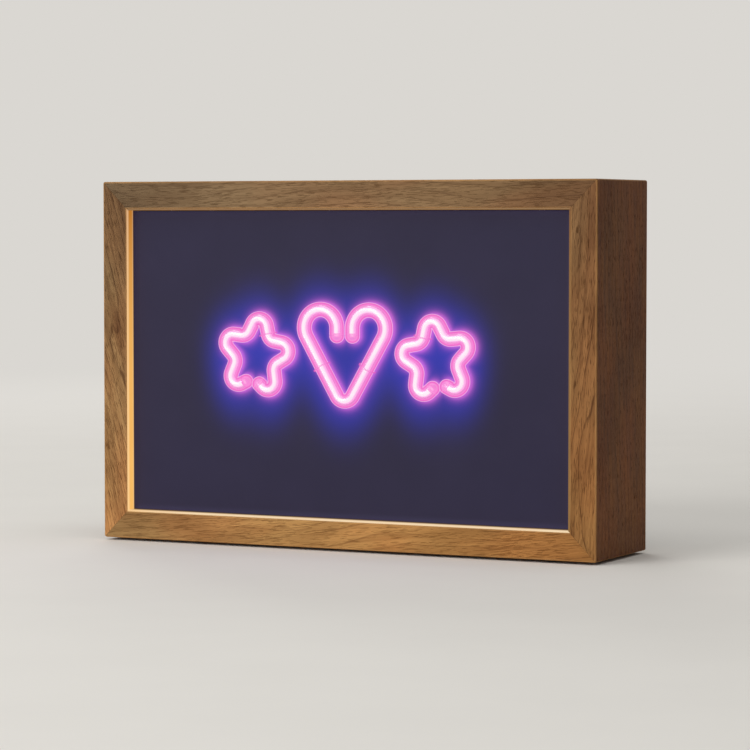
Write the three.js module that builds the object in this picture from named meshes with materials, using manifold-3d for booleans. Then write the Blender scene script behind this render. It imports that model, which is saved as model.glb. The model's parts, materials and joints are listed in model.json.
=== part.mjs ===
// Neon picture lamp: an oak shadow box with bent light tubes set into a slate-coloured panel.
// Millimetres, +Z up. The origin lies on the table below the middle of the case.
// X runs along the width of the case, and the lamp faces -Y.

import * as THREE from 'three';
import { mergeVertices } from 'three/addons/utils/BufferGeometryUtils.js';
import Module from 'manifold-3d';

const wasm = await Module();
wasm.setup();

// Case and boards
const caseWidth = 300;
const caseHeight = 200;
const caseDepth = 70;
const boardThickness = 15;
const mitreGap = 0.1;

// Loose tongues across the mitres
const tongueThickness = 4;
const tongueReach = 6;
const tongueInset = 8.5;
const tongueLength = 44;
const tongueDepth = 10;

// Feet
const footHeight = 1.5;
const footRadius = 7;
const footInsetX = 27;
const footInsetY = 13;

// Glowing reveal
const guideThickness = 1;
const guideSetback = 0.3;
const battenWidth = 12;
const battenDepth = 13;
const rebateWidth = 2.8;
const rebateDepth = 6.4;
const tapeThickness = 0.4;
const tapeWidth = 5.2;
const chipHeight = 1.1;
const chipWidth = 2.4;
const chipLength = 3.5;
const chipPitch = 25;

// Sign panel and light tubes
const panelSetback = 5.6;
const panelThickness = 8;
const tubeRadius = 4.15;
const tubeWall = 1;
const coreRadius = 1.75;
const tubeProud = 4.6;
const motifRise = 5;
const capSpigot = 1.4;
const capSocketReach = 0.9;
const coreReach = 0.6;

// Heart
const lobeRadius = 10;
const lobeRise = 15;
const notchGap = 1.2;
const notchDrop = 4;
const heartDrop = 30;
const heartBendRadius = 5.5;

// Stars
const starReach = 20.5;
const starBendRadius = 4.7;
const starWaistBendRadius = 4.8;
const starWaistShare = 0.42;
const starOffset = 55;
const starRise = -1;
const starTilt = 8;
const starEndSetback = 5.3;

// Wire ties over the tubes
const tieWireRadius = 0.4;
const tieTail = 2;

// Back cover
const backSetback = 6;
const backThickness = 3;
const backLip = 7;
const ventWidth = 3;
const ventLength = 16;
const ventPitch = 9;
const ventDrop = 26;
const ventRowGap = 8;
const ventColumns = 9;

// Screws of the back cover
const screwShankRadius = 1.1;
const screwShankLength = 13;
const screwHeadRadius = 2.7;
const screwHeadHeight = 1.7;
const screwInset = 3.4;
const screwCornerInset = 30;

// Rocker switch
const switchX = 62;
const switchZ = 40;
const switchWidth = 15;
const switchHeight = 21.5;
const switchBezel = 2;
const switchBodyWidth = 12.8;
const switchBodyHeight = 19.2;
const switchBodyDepth = 12;
const wellWidth = 9.6;
const wellHeight = 16.2;
const wellDepth = 8;
const pivotDepth = 3;
const trunnionRadius = 1.4;
const trunnionReach = 1.1;
const rockerLength = 14.4;
const rockerEndRise = 3.6;
const rockerMiddleRise = 2.3;
const rockerShoulder = 1;
const rockerKeel = 3.2;
const rockerKeelWidth = 3;
const rockerTilt = 9;
const terminalWidth = 4.6;
const terminalThickness = 0.8;
const terminalLength = 6;
const terminalSpacing = 8;

// Power jack
const jackX = 100;
const jackZ = 40;
const jackFlangeRadius = 7;
const jackFlange = 1.5;
const jackBodyRadius = 5.5;
const jackBodyDepth = 13;
const socketRadius = 3.2;
const socketDepth = 9.5;
const jackPinRadius = 1.05;
const jackPinLength = 8;
const nutAcrossFlats = 14;
const nutThickness = 2.5;

// Driver board
const driverX = -8;
const driverZ = 62;
const driverWidth = 66;
const driverHeight = 38;
const driverThickness = 1.6;
const spacerHeight = 5;
const spacerRadius = 3;
const spacerPinRadius = 1.4;
const spacerHead = 1;
const spacerInset = 4;

// Wires
const leadRadius = 0.9;
const leadSides = 6;
const leadSteps = 22;

// Clearances
const seatGap = 0.2;
const fitGap = 0.3;
const cutOverrun = 1;

// Facets
const tubeSides = 10;
const boreSides = 6;
const coreSides = 6;
const grooveSides = 12;
const turnedSides = 12;
const bendStep = THREE.MathUtils.degToRad(28);
const eighthTurn = Math.PI / 4;
const quarterTurn = Math.PI / 2;
const halfTurn = Math.PI;
const fullTurn = 2 * Math.PI;

// Planes and edges worked out from the sizes above
const frontY = -caseDepth / 2;
const rearY = frontY + caseDepth;
const caseBottom = footHeight;
const caseTop = caseBottom + caseHeight;
const caseMiddle = (caseBottom + caseTop) / 2;
const outerX = caseWidth / 2;
const innerX = outerX - boardThickness;
const innerHalfHeight = caseHeight / 2 - boardThickness;
const panelFrontY = frontY + panelSetback;
const panelRearY = panelFrontY + panelThickness;
const panelEdge = guideThickness + fitGap;
const backOuterY = rearY - backSetback;
const backInnerY = backOuterY - backThickness;
const battenFrontY = panelRearY + fitGap;
const tubeY = panelFrontY - (tubeProud - tubeRadius);
const motifZ = caseMiddle + motifRise;

// Geometry helpers

const vector = (x, y, z) => new THREE.Vector3(x, y, z);

// A block between two corners
function slab(low, high) {
  const geometry = new THREE.BoxGeometry(1, 1, 1);
  const corner = geometry.attributes.position;
  for (let i = 0; i < corner.count; i += 1) {
    corner.setXYZ(
      i,
      corner.getX(i) < 0 ? low.x : high.x,
      corner.getY(i) < 0 ? low.y : high.y,
      corner.getZ(i) < 0 ? low.z : high.z,
    );
  }
  return geometry;
}

// A block given by its middle and its size
function block(middle, size) {
  const half = size.clone().multiplyScalar(1 / 2);
  return slab(middle.clone().sub(half), middle.clone().add(half));
}

function solidOf(geometry) {
  const bare = geometry.clone();
  bare.deleteAttribute('normal');
  bare.deleteAttribute('uv');
  const merged = mergeVertices(bare);
  return new wasm.Manifold(new wasm.Mesh({
    numProp: 3,
    vertProperties: Float32Array.from(merged.attributes.position.array),
    triVerts: Uint32Array.from(merged.index.array),
  }));
}

function geometryOf(solid) {
  const mesh = solid.getMesh();
  const geometry = new THREE.BufferGeometry();
  geometry.setAttribute('position', new THREE.BufferAttribute(mesh.vertProperties, 3));
  geometry.setIndex(new THREE.BufferAttribute(mesh.triVerts, 1));
  geometry.computeVertexNormals();
  return geometry;
}

function cut(geometry, tools) {
  return geometryOf(tools.reduce((solid, tool) => solid.subtract(solidOf(tool)), solidOf(geometry)));
}

function join(geometries) {
  return geometryOf(geometries.map(solidOf).reduce((solid, other) => solid.add(other)));
}

// Corners of a regular polygon
function ringOf(radius, sides) {
  const corners = [];
  for (let i = 0; i < sides; i += 1) {
    const angle = (fullTurn * i) / sides;
    corners.push(new THREE.Vector2(radius * Math.cos(angle), radius * Math.sin(angle)));
  }
  return corners;
}

// A polygon whose flats, not its corners, lie on the radius
const holeRadius = (radius, sides) => radius / Math.cos(halfTurn / sides);

// A straight round bar from one point to another
function rod(radius, sides, start, end) {
  const span = end.clone().sub(start);
  const geometry = new THREE.CylinderGeometry(radius, radius, span.length(), sides);
  geometry.applyQuaternion(
    new THREE.Quaternion().setFromUnitVectors(vector(0, 1, 0), span.clone().normalize()),
  );
  const middle = start.clone().add(end).multiplyScalar(1 / 2);
  return geometry.translate(middle.x, middle.y, middle.z);
}

// A profile of radius and height pairs turned about a line through a point
function turned(profile, sides, point, direction) {
  const outline = profile.map(([radius, height]) => new THREE.Vector2(radius, height));
  const geometry = new THREE.LatheGeometry(outline, sides);
  geometry.applyQuaternion(new THREE.Quaternion().setFromUnitVectors(vector(0, 1, 0), direction));
  return geometry.translate(point.x, point.y, point.z);
}

// A path of straights and round bends in one plane. Its rings stand close together round the
// bends, and a straight has one at each end.
class BentRun extends THREE.Curve {
  constructor(stations, middles) {
    super();
    this.stations = stations;
    this.middles = middles;
  }

  station(share) {
    return this.stations[Math.round(share * (this.stations.length - 1))];
  }

  getPointAt(share, target = new THREE.Vector3()) {
    return target.copy(this.station(share).point);
  }

  getTangentAt(share, target = new THREE.Vector3()) {
    return target.copy(this.station(share).tangent);
  }

  // The same path with both its ends carried on straight by a length
  extended(length) {
    const stations = this.stations.map(({ point, tangent }) => ({ point: point.clone(), tangent }));
    const first = stations[0];
    const last = stations[stations.length - 1];
    first.point.addScaledVector(first.tangent, -length);
    last.point.addScaledVector(last.tangent, length);
    return new BentRun(stations, this.middles);
  }

  // Its stretch between two of its stations
  stretch(from, to) {
    return new BentRun(this.stations.slice(from, to + 1), []);
  }
}

// Follows moves through a plane given by an origin and its across and up directions. A straight
// move has a length. A bend has a radius and an angle that is positive to the left.
function bentRun(origin, across, up, start, heading, moves) {
  const place = (x, y) => origin.clone().addScaledVector(across, x).addScaledVector(up, y);
  const aim = (angle) => across.clone().multiplyScalar(Math.cos(angle))
    .addScaledVector(up, Math.sin(angle));
  let [x, y] = start;
  let angle = heading;
  const stations = [{ point: place(x, y), tangent: aim(angle) }];
  const middles = [];
  for (const move of moves) {
    if (move.length !== undefined) {
      const endX = x + move.length * Math.cos(angle);
      const endY = y + move.length * Math.sin(angle);
      middles.push({ point: place((x + endX) / 2, (y + endY) / 2), tangent: aim(angle) });
      [x, y] = [endX, endY];
      stations.push({ point: place(x, y), tangent: aim(angle) });
    } else {
      const side = Math.sign(move.angle);
      const centreX = x - side * move.radius * Math.sin(angle);
      const centreY = y + side * move.radius * Math.cos(angle);
      const count = Math.ceil(Math.abs(move.angle) / bendStep);
      for (let i = 1; i <= count; i += 1) {
        const turn = angle + (move.angle * i) / count;
        x = centreX + side * move.radius * Math.sin(turn);
        y = centreY - side * move.radius * Math.cos(turn);
        stations.push({ point: place(x, y), tangent: aim(turn) });
      }
      angle += move.angle;
    }
  }
  return new BentRun(stations, middles);
}

// A section of given radius carried along a path, with a bore if one is given
function swept(path, steps, radius, sides, boreRadius) {
  const section = new THREE.Shape(ringOf(radius, sides));
  if (boreRadius !== undefined) {
    section.holes.push(new THREE.Path(ringOf(holeRadius(boreRadius, boreSides), boreSides)));
  }
  return new THREE.ExtrudeGeometry(section, { extrudePath: path, steps, bevelEnabled: false });
}

const alongRun = (run, radius, sides, boreRadius) => (
  swept(run, run.stations.length - 1, radius, sides, boreRadius)
);

// Finishes

const finish = (color, roughness, metalness = 0) => (
  new THREE.MeshStandardMaterial({ color, roughness, metalness })
);
const oak = () => finish(0xa97c4d, 0.55);
const pine = () => finish(0xc9a878, 0.7);
const beech = () => finish(0xc8a27a, 0.6);
const slate = () => finish(0x363247, 0.45);
const clearPlastic = () => finish(0xf6b9e6, 0.1);
const glow = () => finish(0xffd6f6, 0.4);
const opal = () => finish(0xf2b45a, 0.4);
const tapeWhite = () => finish(0xe8e4d8, 0.5);
const blackBoard = () => finish(0x2a2623, 0.8);
const blackPlastic = () => finish(0x17171a, 0.4);
const rockerPlastic = () => finish(0x1d1d20, 0.3);
const steel = () => finish(0x9a9a9c, 0.35, 1);
const brass = () => finish(0xb59a55, 0.35, 1);
const circuitGreen = () => finish(0x2d6a45, 0.5);
const nylon = () => finish(0xe6e2d6, 0.5);
const wireWhite = () => finish(0xd9d4ca, 0.5);
const feltGrey = () => finish(0x2c2b2a, 0.95);

const lamp = new THREE.Group();

function add(name, geometry, material) {
  const mesh = new THREE.Mesh(geometry, material);
  mesh.name = name;
  lamp.add(mesh);
}

// The four inner faces of the case, and the strips that lie on them or back them

const innerFaces = {
  left: { inwardX: 1, inwardZ: 0, offset: innerX, halfLength: innerHalfHeight },
  right: { inwardX: -1, inwardZ: 0, offset: innerX, halfLength: innerHalfHeight },
  top: { inwardX: 0, inwardZ: -1, offset: innerHalfHeight, halfLength: innerX },
  bottom: { inwardX: 0, inwardZ: 1, offset: innerHalfHeight, halfLength: innerX },
};

// A strip on an inner face. Its outline is given inward from the face and back from the front
// plane. Its ends are cut on the diagonals of the corners, or stand back from them by a setback.
function mitredStrip(face, outline, setback = 0) {
  const { inwardX, inwardZ, offset, halfLength } = face;
  const shape = new THREE.Shape(outline.map(([inward, back]) => new THREE.Vector2(inward, back)));
  const geometry = new THREE.ExtrudeGeometry(shape, { depth: 1, bevelEnabled: false });
  const corner = geometry.attributes.position;
  for (let i = 0; i < corner.count; i += 1) {
    const inward = corner.getX(i);
    const end = corner.getZ(i) > 0 ? 1 : -1;
    const along = end * (halfLength - inward - setback);
    corner.setXYZ(
      i,
      (inward - offset) * inwardX - along * inwardZ,
      frontY + corner.getY(i),
      caseMiddle + (inward - offset) * inwardZ + along * inwardX,
    );
  }
  return geometry;
}

// Case: four boards mitred at the corners, each with a step at its rear for the back cover

const boardOutline = [
  [-boardThickness, 0],
  [0, 0],
  [0, backInnerY - frontY],
  [-backLip, backInnerY - frontY],
  [-backLip, caseDepth],
  [-boardThickness, caseDepth],
];
const corners = [
  ['bottom_left', -1, -1], ['bottom_right', 1, -1], ['top_left', -1, 1], ['top_right', 1, 1],
];

// The loose tongue across a corner's mitre, or its slot when a clearance is given
function tongue(sideX, sideZ, clearance) {
  const size = vector(
    2 * (tongueReach + clearance),
    tongueLength + 2 * clearance,
    tongueThickness + 2 * clearance,
  );
  const inset = tongueInset * Math.SQRT1_2;
  const geometry = block(vector(0, frontY + tongueDepth + tongueLength / 2, 0), size);
  geometry.rotateY(sideX * sideZ * eighthTurn);
  return geometry.translate(
    sideX * (innerX + inset),
    0,
    caseMiddle + sideZ * (innerHalfHeight + inset),
  );
}

// Where the screws of the back cover stand, as x and z
const screwLineX = innerX + screwInset;
const screwLineZ = innerHalfHeight + screwInset;
const screwColumnX = innerX - screwCornerInset;
const screwPlaces = [
  [-screwColumnX, caseMiddle - screwLineZ],
  [screwColumnX, caseMiddle - screwLineZ],
  [-screwColumnX, caseMiddle + screwLineZ],
  [screwColumnX, caseMiddle + screwLineZ],
  [-screwLineX, caseMiddle],
  [screwLineX, caseMiddle],
];

// The bore that a screw of the back cover passes, from the cover deep into the board
function screwBore([x, z]) {
  const radius = holeRadius(screwShankRadius + fitGap, turnedSides);
  const deepY = backOuterY - screwShankLength - cutOverrun;
  return rod(radius, turnedSides, vector(x, deepY, z), vector(x, backOuterY + cutOverrun, z));
}

const joinery = [
  ...corners.map(([, sideX, sideZ]) => tongue(sideX, sideZ, fitGap)),
  ...screwPlaces.map(screwBore),
];

for (const [name, face] of [
  ['left_side_board', innerFaces.left],
  ['right_side_board', innerFaces.right],
  ['top_board', innerFaces.top],
  ['bottom_board', innerFaces.bottom],
]) {
  add(name, cut(mitredStrip(face, boardOutline, mitreGap / 2), joinery), oak());
}

for (const [place, sideX, sideZ] of corners) {
  add(`corner_tongue_${place}`, tongue(sideX, sideZ, 0), beech());
}

for (const [place, sideX, sideY] of [
  ['front_left', -1, -1], ['front_right', 1, -1], ['rear_left', -1, 1], ['rear_right', 1, 1],
]) {
  const x = sideX * (outerX - footInsetX);
  const y = sideY * (caseDepth / 2 - footInsetY);
  const disc = new THREE.ExtrudeGeometry(
    new THREE.Shape(ringOf(footRadius, 2 * turnedSides)),
    { depth: footHeight, bevelEnabled: false },
  );
  add(`foot_${place}`, disc.translate(x, y, 0), feltGrey());
}

// Reveal: light guides and battens on the four inner faces of the case

const guideRear = panelSetback + panelThickness;
const guideOutline = [
  [0, guideSetback],
  [guideThickness, guideSetback],
  [guideThickness, guideRear],
  [0, guideRear],
];
const battenFront = battenFrontY - frontY;
const battenRear = battenFront + battenDepth;
const battenOutline = [
  [rebateWidth, battenFront],
  [battenWidth, battenFront],
  [battenWidth, battenRear],
  [0, battenRear],
  [0, battenFront + rebateDepth],
  [rebateWidth, battenFront + rebateDepth],
];
const tapeFrontY = battenFrontY + seatGap;
const tapeLeadY = tapeFrontY + tapeWidth / 2;

// The hole in the left batten for the wire of the LED tape
const tapeLeadBore = rod(
  holeRadius(leadRadius + fitGap, turnedSides),
  turnedSides,
  vector(-innerX, tapeLeadY, caseMiddle),
  vector(-innerX + battenWidth + cutOverrun, tapeLeadY, caseMiddle),
);

for (const [place, face] of Object.entries(innerFaces)) {
  const batten = mitredStrip(face, battenOutline);
  add(`light_guide_${place}`, mitredStrip(face, guideOutline), opal());
  add(`panel_batten_${place}`, place === 'left' ? cut(batten, [tapeLeadBore]) : batten, pine());
}

// LED tape: one flexible strip round the rebate, with its chips facing the light guides. It
// starts and ends at the lower left corner.
function ledTape() {
  const tapeRearY = tapeFrontY + tapeWidth;
  const faceX = innerX - seatGap;
  const faceZ = innerHalfHeight - seatGap;
  const low = caseMiddle - faceZ;
  const high = caseMiddle + faceZ;
  const start = -faceX + tapeWidth;
  const pieces = [
    slab(vector(-faceX, tapeFrontY, low), vector(-faceX + tapeThickness, tapeRearY, high)),
    slab(vector(faceX - tapeThickness, tapeFrontY, low), vector(faceX, tapeRearY, high)),
    slab(vector(-faceX, tapeFrontY, high - tapeThickness), vector(faceX, tapeRearY, high)),
    slab(vector(start, tapeFrontY, low), vector(faceX, tapeRearY, low + tapeThickness)),
  ];
  const chipY = tapeFrontY + chipWidth / 2;
  const chipRise = tapeThickness / 2 + chipHeight / 2;
  const sideCount = Math.floor((2 * faceZ) / chipPitch);
  const lengthCount = Math.floor((2 * faceX) / chipPitch);
  const upright = vector(chipHeight + tapeThickness, chipWidth, chipLength);
  const lying = vector(chipLength, chipWidth, chipHeight + tapeThickness);
  for (const side of [-1, 1]) {
    for (let i = 0; i < sideCount; i += 1) {
      const along = (i + 1 / 2 - sideCount / 2) * chipPitch;
      pieces.push(block(vector(side * (faceX - chipRise), chipY, caseMiddle + along), upright));
    }
    for (let i = 0; i < lengthCount; i += 1) {
      const along = (i + 1 / 2 - lengthCount / 2) * chipPitch;
      pieces.push(block(vector(along, chipY, caseMiddle + side * (faceZ - chipRise)), lying));
    }
  }
  return join(pieces);
}

add('led_tape', ledTape(), tapeWhite());

// Light tubes: a heart with a star on each side

// The heart starts down in the notch, climbs over one lobe, runs to the point and comes back the
// same way. The slope is the angle of its straight sides to the upright.
function heartRun() {
  const startX = tubeRadius + notchGap / 2;
  const lobeX = startX + lobeRadius;
  const reach = Math.hypot(lobeX, lobeRise + heartDrop);
  const slope = Math.atan2(lobeX, lobeRise + heartDrop) + Math.asin(lobeRadius / reach);
  const side = Math.sqrt(reach ** 2 - lobeRadius ** 2) - heartBendRadius / Math.tan(slope);
  const half = [
    { length: notchDrop },
    { radius: lobeRadius, angle: -(halfTurn + slope) },
    { length: side },
  ];
  return bentRun(
    vector(0, tubeY, motifZ),
    vector(1, 0, 0),
    vector(0, 0, 1),
    [startX, lobeRise - notchDrop],
    quarterTurn,
    [...half, { radius: heartBendRadius, angle: -(halfTurn - 2 * slope) }, ...half.reverse()],
  );
}

// The star starts beside its lowest waist and goes round all five tips. The tip angle is half
// the angle between the two straight sides that would meet there.
function starRun(side) {
  const points = 5;
  const pitch = halfTurn / points;
  const tip = Math.atan2(
    starWaistShare * Math.sin(pitch),
    1 - starWaistShare * Math.cos(pitch),
  );
  const corner = starReach + starBendRadius * (1 / Math.sin(tip) - 1);
  const waist = corner * starWaistShare;
  const edge = Math.hypot(corner - waist * Math.cos(pitch), waist * Math.sin(pitch));
  const tipTurn = halfTurn - 2 * tip;
  const waistTurn = tipTurn - fullTurn / points;
  const tipTrim = starBendRadius / Math.tan(tip);
  const waistTrim = starWaistBendRadius * Math.tan(waistTurn / 2);
  const moves = [{ length: edge - tipTrim - starEndSetback }];
  for (let i = 0; i < points; i += 1) {
    moves.push({ radius: starBendRadius, angle: tipTurn });
    if (i < points - 1) {
      moves.push({ length: edge - tipTrim - waistTrim });
      moves.push({ radius: starWaistBendRadius, angle: -waistTurn });
      moves.push({ length: edge - tipTrim - waistTrim });
    }
  }
  moves.push({ length: edge - tipTrim - starEndSetback });
  const heading = Math.atan2(starWaistShare - Math.cos(pitch), Math.sin(pitch));
  const tilt = side * THREE.MathUtils.degToRad(starTilt);
  return bentRun(
    vector(side * starOffset, tubeY, motifZ + starRise),
    vector(Math.cos(tilt), 0, Math.sin(tilt)),
    vector(-Math.sin(tilt), 0, Math.cos(tilt)),
    [starEndSetback * Math.cos(heading), starEndSetback * Math.sin(heading) - waist],
    heading,
    moves,
  );
}

const motifs = [
  { name: 'heart', run: heartRun(), ties: [1, 2] },
  { name: 'left_star', run: starRun(-1), ties: [4] },
  { name: 'right_star', run: starRun(1), ties: [5] },
];

// A domed plug for a tube's end. Its spigot enters the bore, and its socket holds the core.
function endCap(point, outward) {
  const spigotRadius = tubeRadius - tubeWall - fitGap;
  const domeSteps = 4;
  const capSocketRadius = coreRadius + seatGap;
  const profile = [
    [0, capSocketReach],
    [capSocketRadius, capSocketReach],
    [capSocketRadius, -capSpigot],
    [spigotRadius, -capSpigot],
    [spigotRadius, 0],
  ];
  for (let i = 0; i <= domeSteps; i += 1) {
    const angle = (quarterTurn * i) / domeSteps;
    const radius = i < domeSteps ? tubeRadius * Math.cos(angle) : 0;
    profile.push([radius, tubeRadius * Math.sin(angle)]);
  }
  return turned(profile, tubeSides, point.clone().addScaledVector(outward, seatGap), outward);
}

// A wire bow over a tube, whose two legs pass the panel
function tieRun({ point, tangent }) {
  const forward = vector(0, -1, 0);
  const across = vector(0, 0, 0).crossVectors(forward, tangent);
  const radius = tubeRadius + fitGap + tieWireRadius;
  const leg = panelRearY - tubeY + tieTail;
  return bentRun(point, across, forward, [-radius, -leg], quarterTurn, [
    { length: leg },
    { radius, angle: -halfTurn },
    { length: leg },
  ]);
}

// Straight bores through the panel for a tie's legs
function tieBores(run) {
  const radius = holeRadius(tieWireRadius + fitGap, turnedSides);
  return [run.stations[0].point, run.stations[run.stations.length - 1].point].map((end) => rod(
    radius,
    turnedSides,
    vector(end.x, panelFrontY - cutOverrun, end.z),
    vector(end.x, panelRearY + cutOverrun, end.z),
  ));
}

const panelCuts = [];
for (const { name, run, ties } of motifs) {
  const first = run.stations[0];
  const last = run.stations[run.stations.length - 1];
  add(`${name}_tube`, alongRun(run, tubeRadius, tubeSides, tubeRadius - tubeWall), clearPlastic());
  add(`${name}_core`, alongRun(run.extended(coreReach), coreRadius, coreSides), glow());
  add(`${name}_cap_a`, endCap(first.point, first.tangent.clone().negate()), clearPlastic());
  add(`${name}_cap_b`, endCap(last.point, last.tangent), clearPlastic());
  ties.forEach((place, i) => {
    const tie = tieRun(run.middles[place]);
    add(`${name}_tie_${i + 1}`, alongRun(tie, tieWireRadius, coreSides), nylon());
    panelCuts.push(...tieBores(tie));
  });
  // The groove's two ends may run into each other, so it is cut in two halves that overlap
  const grooveRun = run.extended(tubeRadius + seatGap + fitGap);
  const lastStation = run.stations.length - 1;
  const halfway = Math.floor(lastStation / 2);
  for (const half of [grooveRun.stretch(0, halfway + 1), grooveRun.stretch(halfway, lastStation)]) {
    panelCuts.push(alongRun(half, holeRadius(tubeRadius + fitGap, grooveSides), grooveSides));
  }
  panelCuts.push(rod(
    holeRadius(leadRadius + fitGap, turnedSides),
    turnedSides,
    vector(first.point.x, panelFrontY, first.point.z),
    vector(first.point.x, panelRearY + cutOverrun, first.point.z),
  ));
}

add('sign_panel', cut(
  slab(
    vector(-innerX + panelEdge, panelFrontY, caseMiddle - innerHalfHeight + panelEdge),
    vector(innerX - panelEdge, panelRearY, caseMiddle + innerHalfHeight - panelEdge),
  ),
  panelCuts,
), slate());

// Back cover with vents, in the recess at the rear of the boards

const coverX = innerX + backLip - fitGap;
const coverZ = innerHalfHeight + backLip - fitGap;

function vents() {
  const slots = [];
  for (const row of [0, 1]) {
    const z = caseMiddle + innerHalfHeight - ventDrop - row * (ventLength + ventRowGap);
    for (let i = 0; i < ventColumns; i += 1) {
      const x = (i - (ventColumns - 1) / 2) * ventPitch;
      slots.push(block(
        vector(x, backOuterY - backThickness / 2, z),
        vector(ventWidth, backThickness + 2 * cutOverrun, ventLength),
      ));
    }
  }
  return slots;
}

const switchOpening = block(
  vector(switchX, backOuterY - backThickness / 2, switchZ),
  vector(
    switchBodyWidth + 2 * fitGap,
    backThickness + 2 * cutOverrun,
    switchBodyHeight + 2 * fitGap,
  ),
);
const jackOpening = rod(
  holeRadius(jackBodyRadius + fitGap, 2 * turnedSides),
  2 * turnedSides,
  vector(jackX, backInnerY - cutOverrun, jackZ),
  vector(jackX, backOuterY + cutOverrun, jackZ),
);

add('back_cover', cut(
  slab(
    vector(-coverX, backInnerY + seatGap, caseMiddle - coverZ),
    vector(coverX, backOuterY, caseMiddle + coverZ),
  ),
  [...vents(), ...screwPlaces.map(screwBore), switchOpening, jackOpening],
), blackBoard());

screwPlaces.forEach(([x, z], i) => {
  const profile = [
    [0, -screwShankLength],
    [screwShankRadius, -screwShankLength + screwShankRadius],
    [screwShankRadius, seatGap],
    [screwHeadRadius, seatGap],
    [screwHeadRadius, screwHeadHeight / 2],
    [screwHeadRadius / 2, screwHeadHeight],
    [0, screwHeadHeight],
  ];
  const screw = turned(profile, turnedSides, vector(x, backOuterY, z), vector(0, 1, 0));
  add(`cover_screw_${i + 1}`, screw, steel());
});

// Rocker switch: the housing's well holds the rocker on two trunnions

const bezelY = backOuterY + seatGap + switchBezel;
const pivot = vector(switchX, bezelY - pivotDepth, switchZ);
const switchRearY = backOuterY - switchBodyDepth;

function blades(x, z, topY, count) {
  const pieces = [];
  for (let i = 0; i < count; i += 1) {
    const bladeX = x + (i - (count - 1) / 2) * terminalSpacing;
    pieces.push(slab(
      vector(bladeX - terminalThickness / 2, topY - terminalLength, z - terminalWidth / 2),
      vector(bladeX + terminalThickness / 2, topY + cutOverrun, z + terminalWidth / 2),
    ));
  }
  return pieces;
}

const trunnionBore = rod(
  holeRadius(trunnionRadius + fitGap, turnedSides),
  turnedSides,
  pivot.clone().add(vector(-switchWidth, 0, 0)),
  pivot.clone().add(vector(switchWidth, 0, 0)),
);

add('switch_housing', cut(
  join([
    slab(
      vector(switchX - switchWidth / 2, backOuterY + seatGap, switchZ - switchHeight / 2),
      vector(switchX + switchWidth / 2, bezelY, switchZ + switchHeight / 2),
    ),
    slab(
      vector(switchX - switchBodyWidth / 2, switchRearY, switchZ - switchBodyHeight / 2),
      vector(
        switchX + switchBodyWidth / 2,
        backOuterY + seatGap + switchBezel / 2,
        switchZ + switchBodyHeight / 2,
      ),
    ),
    ...blades(switchX, switchZ, switchRearY, 2),
  ]),
  [
    slab(
      vector(switchX - wellWidth / 2, bezelY - wellDepth, switchZ - wellHeight / 2),
      vector(switchX + wellWidth / 2, bezelY + cutOverrun, switchZ + wellHeight / 2),
    ),
    trunnionBore,
  ],
), blackPlastic());

// The rocker's outline, along the switch and outward from the pivot, carried across its width
function rocker() {
  const half = rockerLength / 2;
  const bottom = half - rockerShoulder;
  const outline = [
    [-half, rockerEndRise],
    [-bottom, -rockerShoulder],
    [-rockerKeelWidth / 2, -rockerKeel],
    [rockerKeelWidth / 2, -rockerKeel],
    [bottom, -rockerShoulder],
    [half, rockerEndRise],
    [0, rockerMiddleRise],
  ];
  const width = wellWidth - 2 * fitGap;
  const body = new THREE.ExtrudeGeometry(
    new THREE.Shape(outline.map(([along, outward]) => new THREE.Vector2(outward, along))),
    { depth: width, bevelEnabled: false },
  );
  body.translate(0, 0, -width / 2);
  const span = width / 2 + trunnionReach;
  const trunnions = rod(trunnionRadius, turnedSides, vector(0, 0, -span), vector(0, 0, span));
  const piece = join([body, trunnions]);
  piece.rotateX(quarterTurn).rotateZ(quarterTurn);
  piece.rotateX(THREE.MathUtils.degToRad(rockerTilt));
  return piece.translate(pivot.x, pivot.y, pivot.z);
}

add('switch_rocker', rocker(), rockerPlastic());

// Power jack with its nut inside the cover

const jackRearY = backOuterY - jackBodyDepth;

function jack() {
  const mouth = jackFlange + seatGap;
  const profile = [
    [0, -jackBodyDepth],
    [jackBodyRadius, -jackBodyDepth],
    [jackBodyRadius, seatGap],
    [jackFlangeRadius, seatGap],
    [jackFlangeRadius, mouth],
    [socketRadius, mouth],
    [socketRadius, mouth - socketDepth],
    [jackPinRadius, mouth - socketDepth],
    [jackPinRadius, mouth - socketDepth + jackPinLength],
    [0, mouth - socketDepth + jackPinLength],
  ];
  const body = turned(profile, 2 * turnedSides, vector(jackX, backOuterY, jackZ), vector(0, 1, 0));
  return join([body, ...blades(jackX, jackZ, jackRearY, 2)]);
}

add('power_jack', jack(), blackPlastic());

function jackNut() {
  const shape = new THREE.Shape(ringOf(nutAcrossFlats / Math.sqrt(3), 6));
  shape.holes.push(new THREE.Path(
    ringOf(holeRadius(jackBodyRadius + fitGap, turnedSides), turnedSides),
  ));
  const nut = new THREE.ExtrudeGeometry(shape, { depth: nutThickness, bevelEnabled: false });
  nut.rotateX(quarterTurn);
  return nut.translate(jackX, backInnerY, jackZ);
}

add('jack_nut', jackNut(), brass());

// Driver board on its spacers, inside the cover

const driverRearY = backInnerY - spacerHeight;
const driverFrontY = driverRearY - driverThickness;
const driverLowX = driverX - driverWidth / 2;
const driverHighX = driverX + driverWidth / 2;
const driverTop = driverZ + driverHeight / 2;
const driverBottom = driverZ - driverHeight / 2;
const terminalBlockDepth = 8;
const terminalBlockHeight = 7;
const terminalBlockInset = 1;
const leadPitch = 7;
const terminalBlockWidth = 3 * leadPitch;
const coilWidth = 15;
const coilDepth = 11;
const capacitorRadius = 4;
const capacitorHeight = 12;
const componentSink = 0.5;
const spacerPlaces = [
  [driverLowX + spacerInset, driverBottom + spacerInset],
  [driverHighX - spacerInset, driverTop - spacerInset],
];

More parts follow.
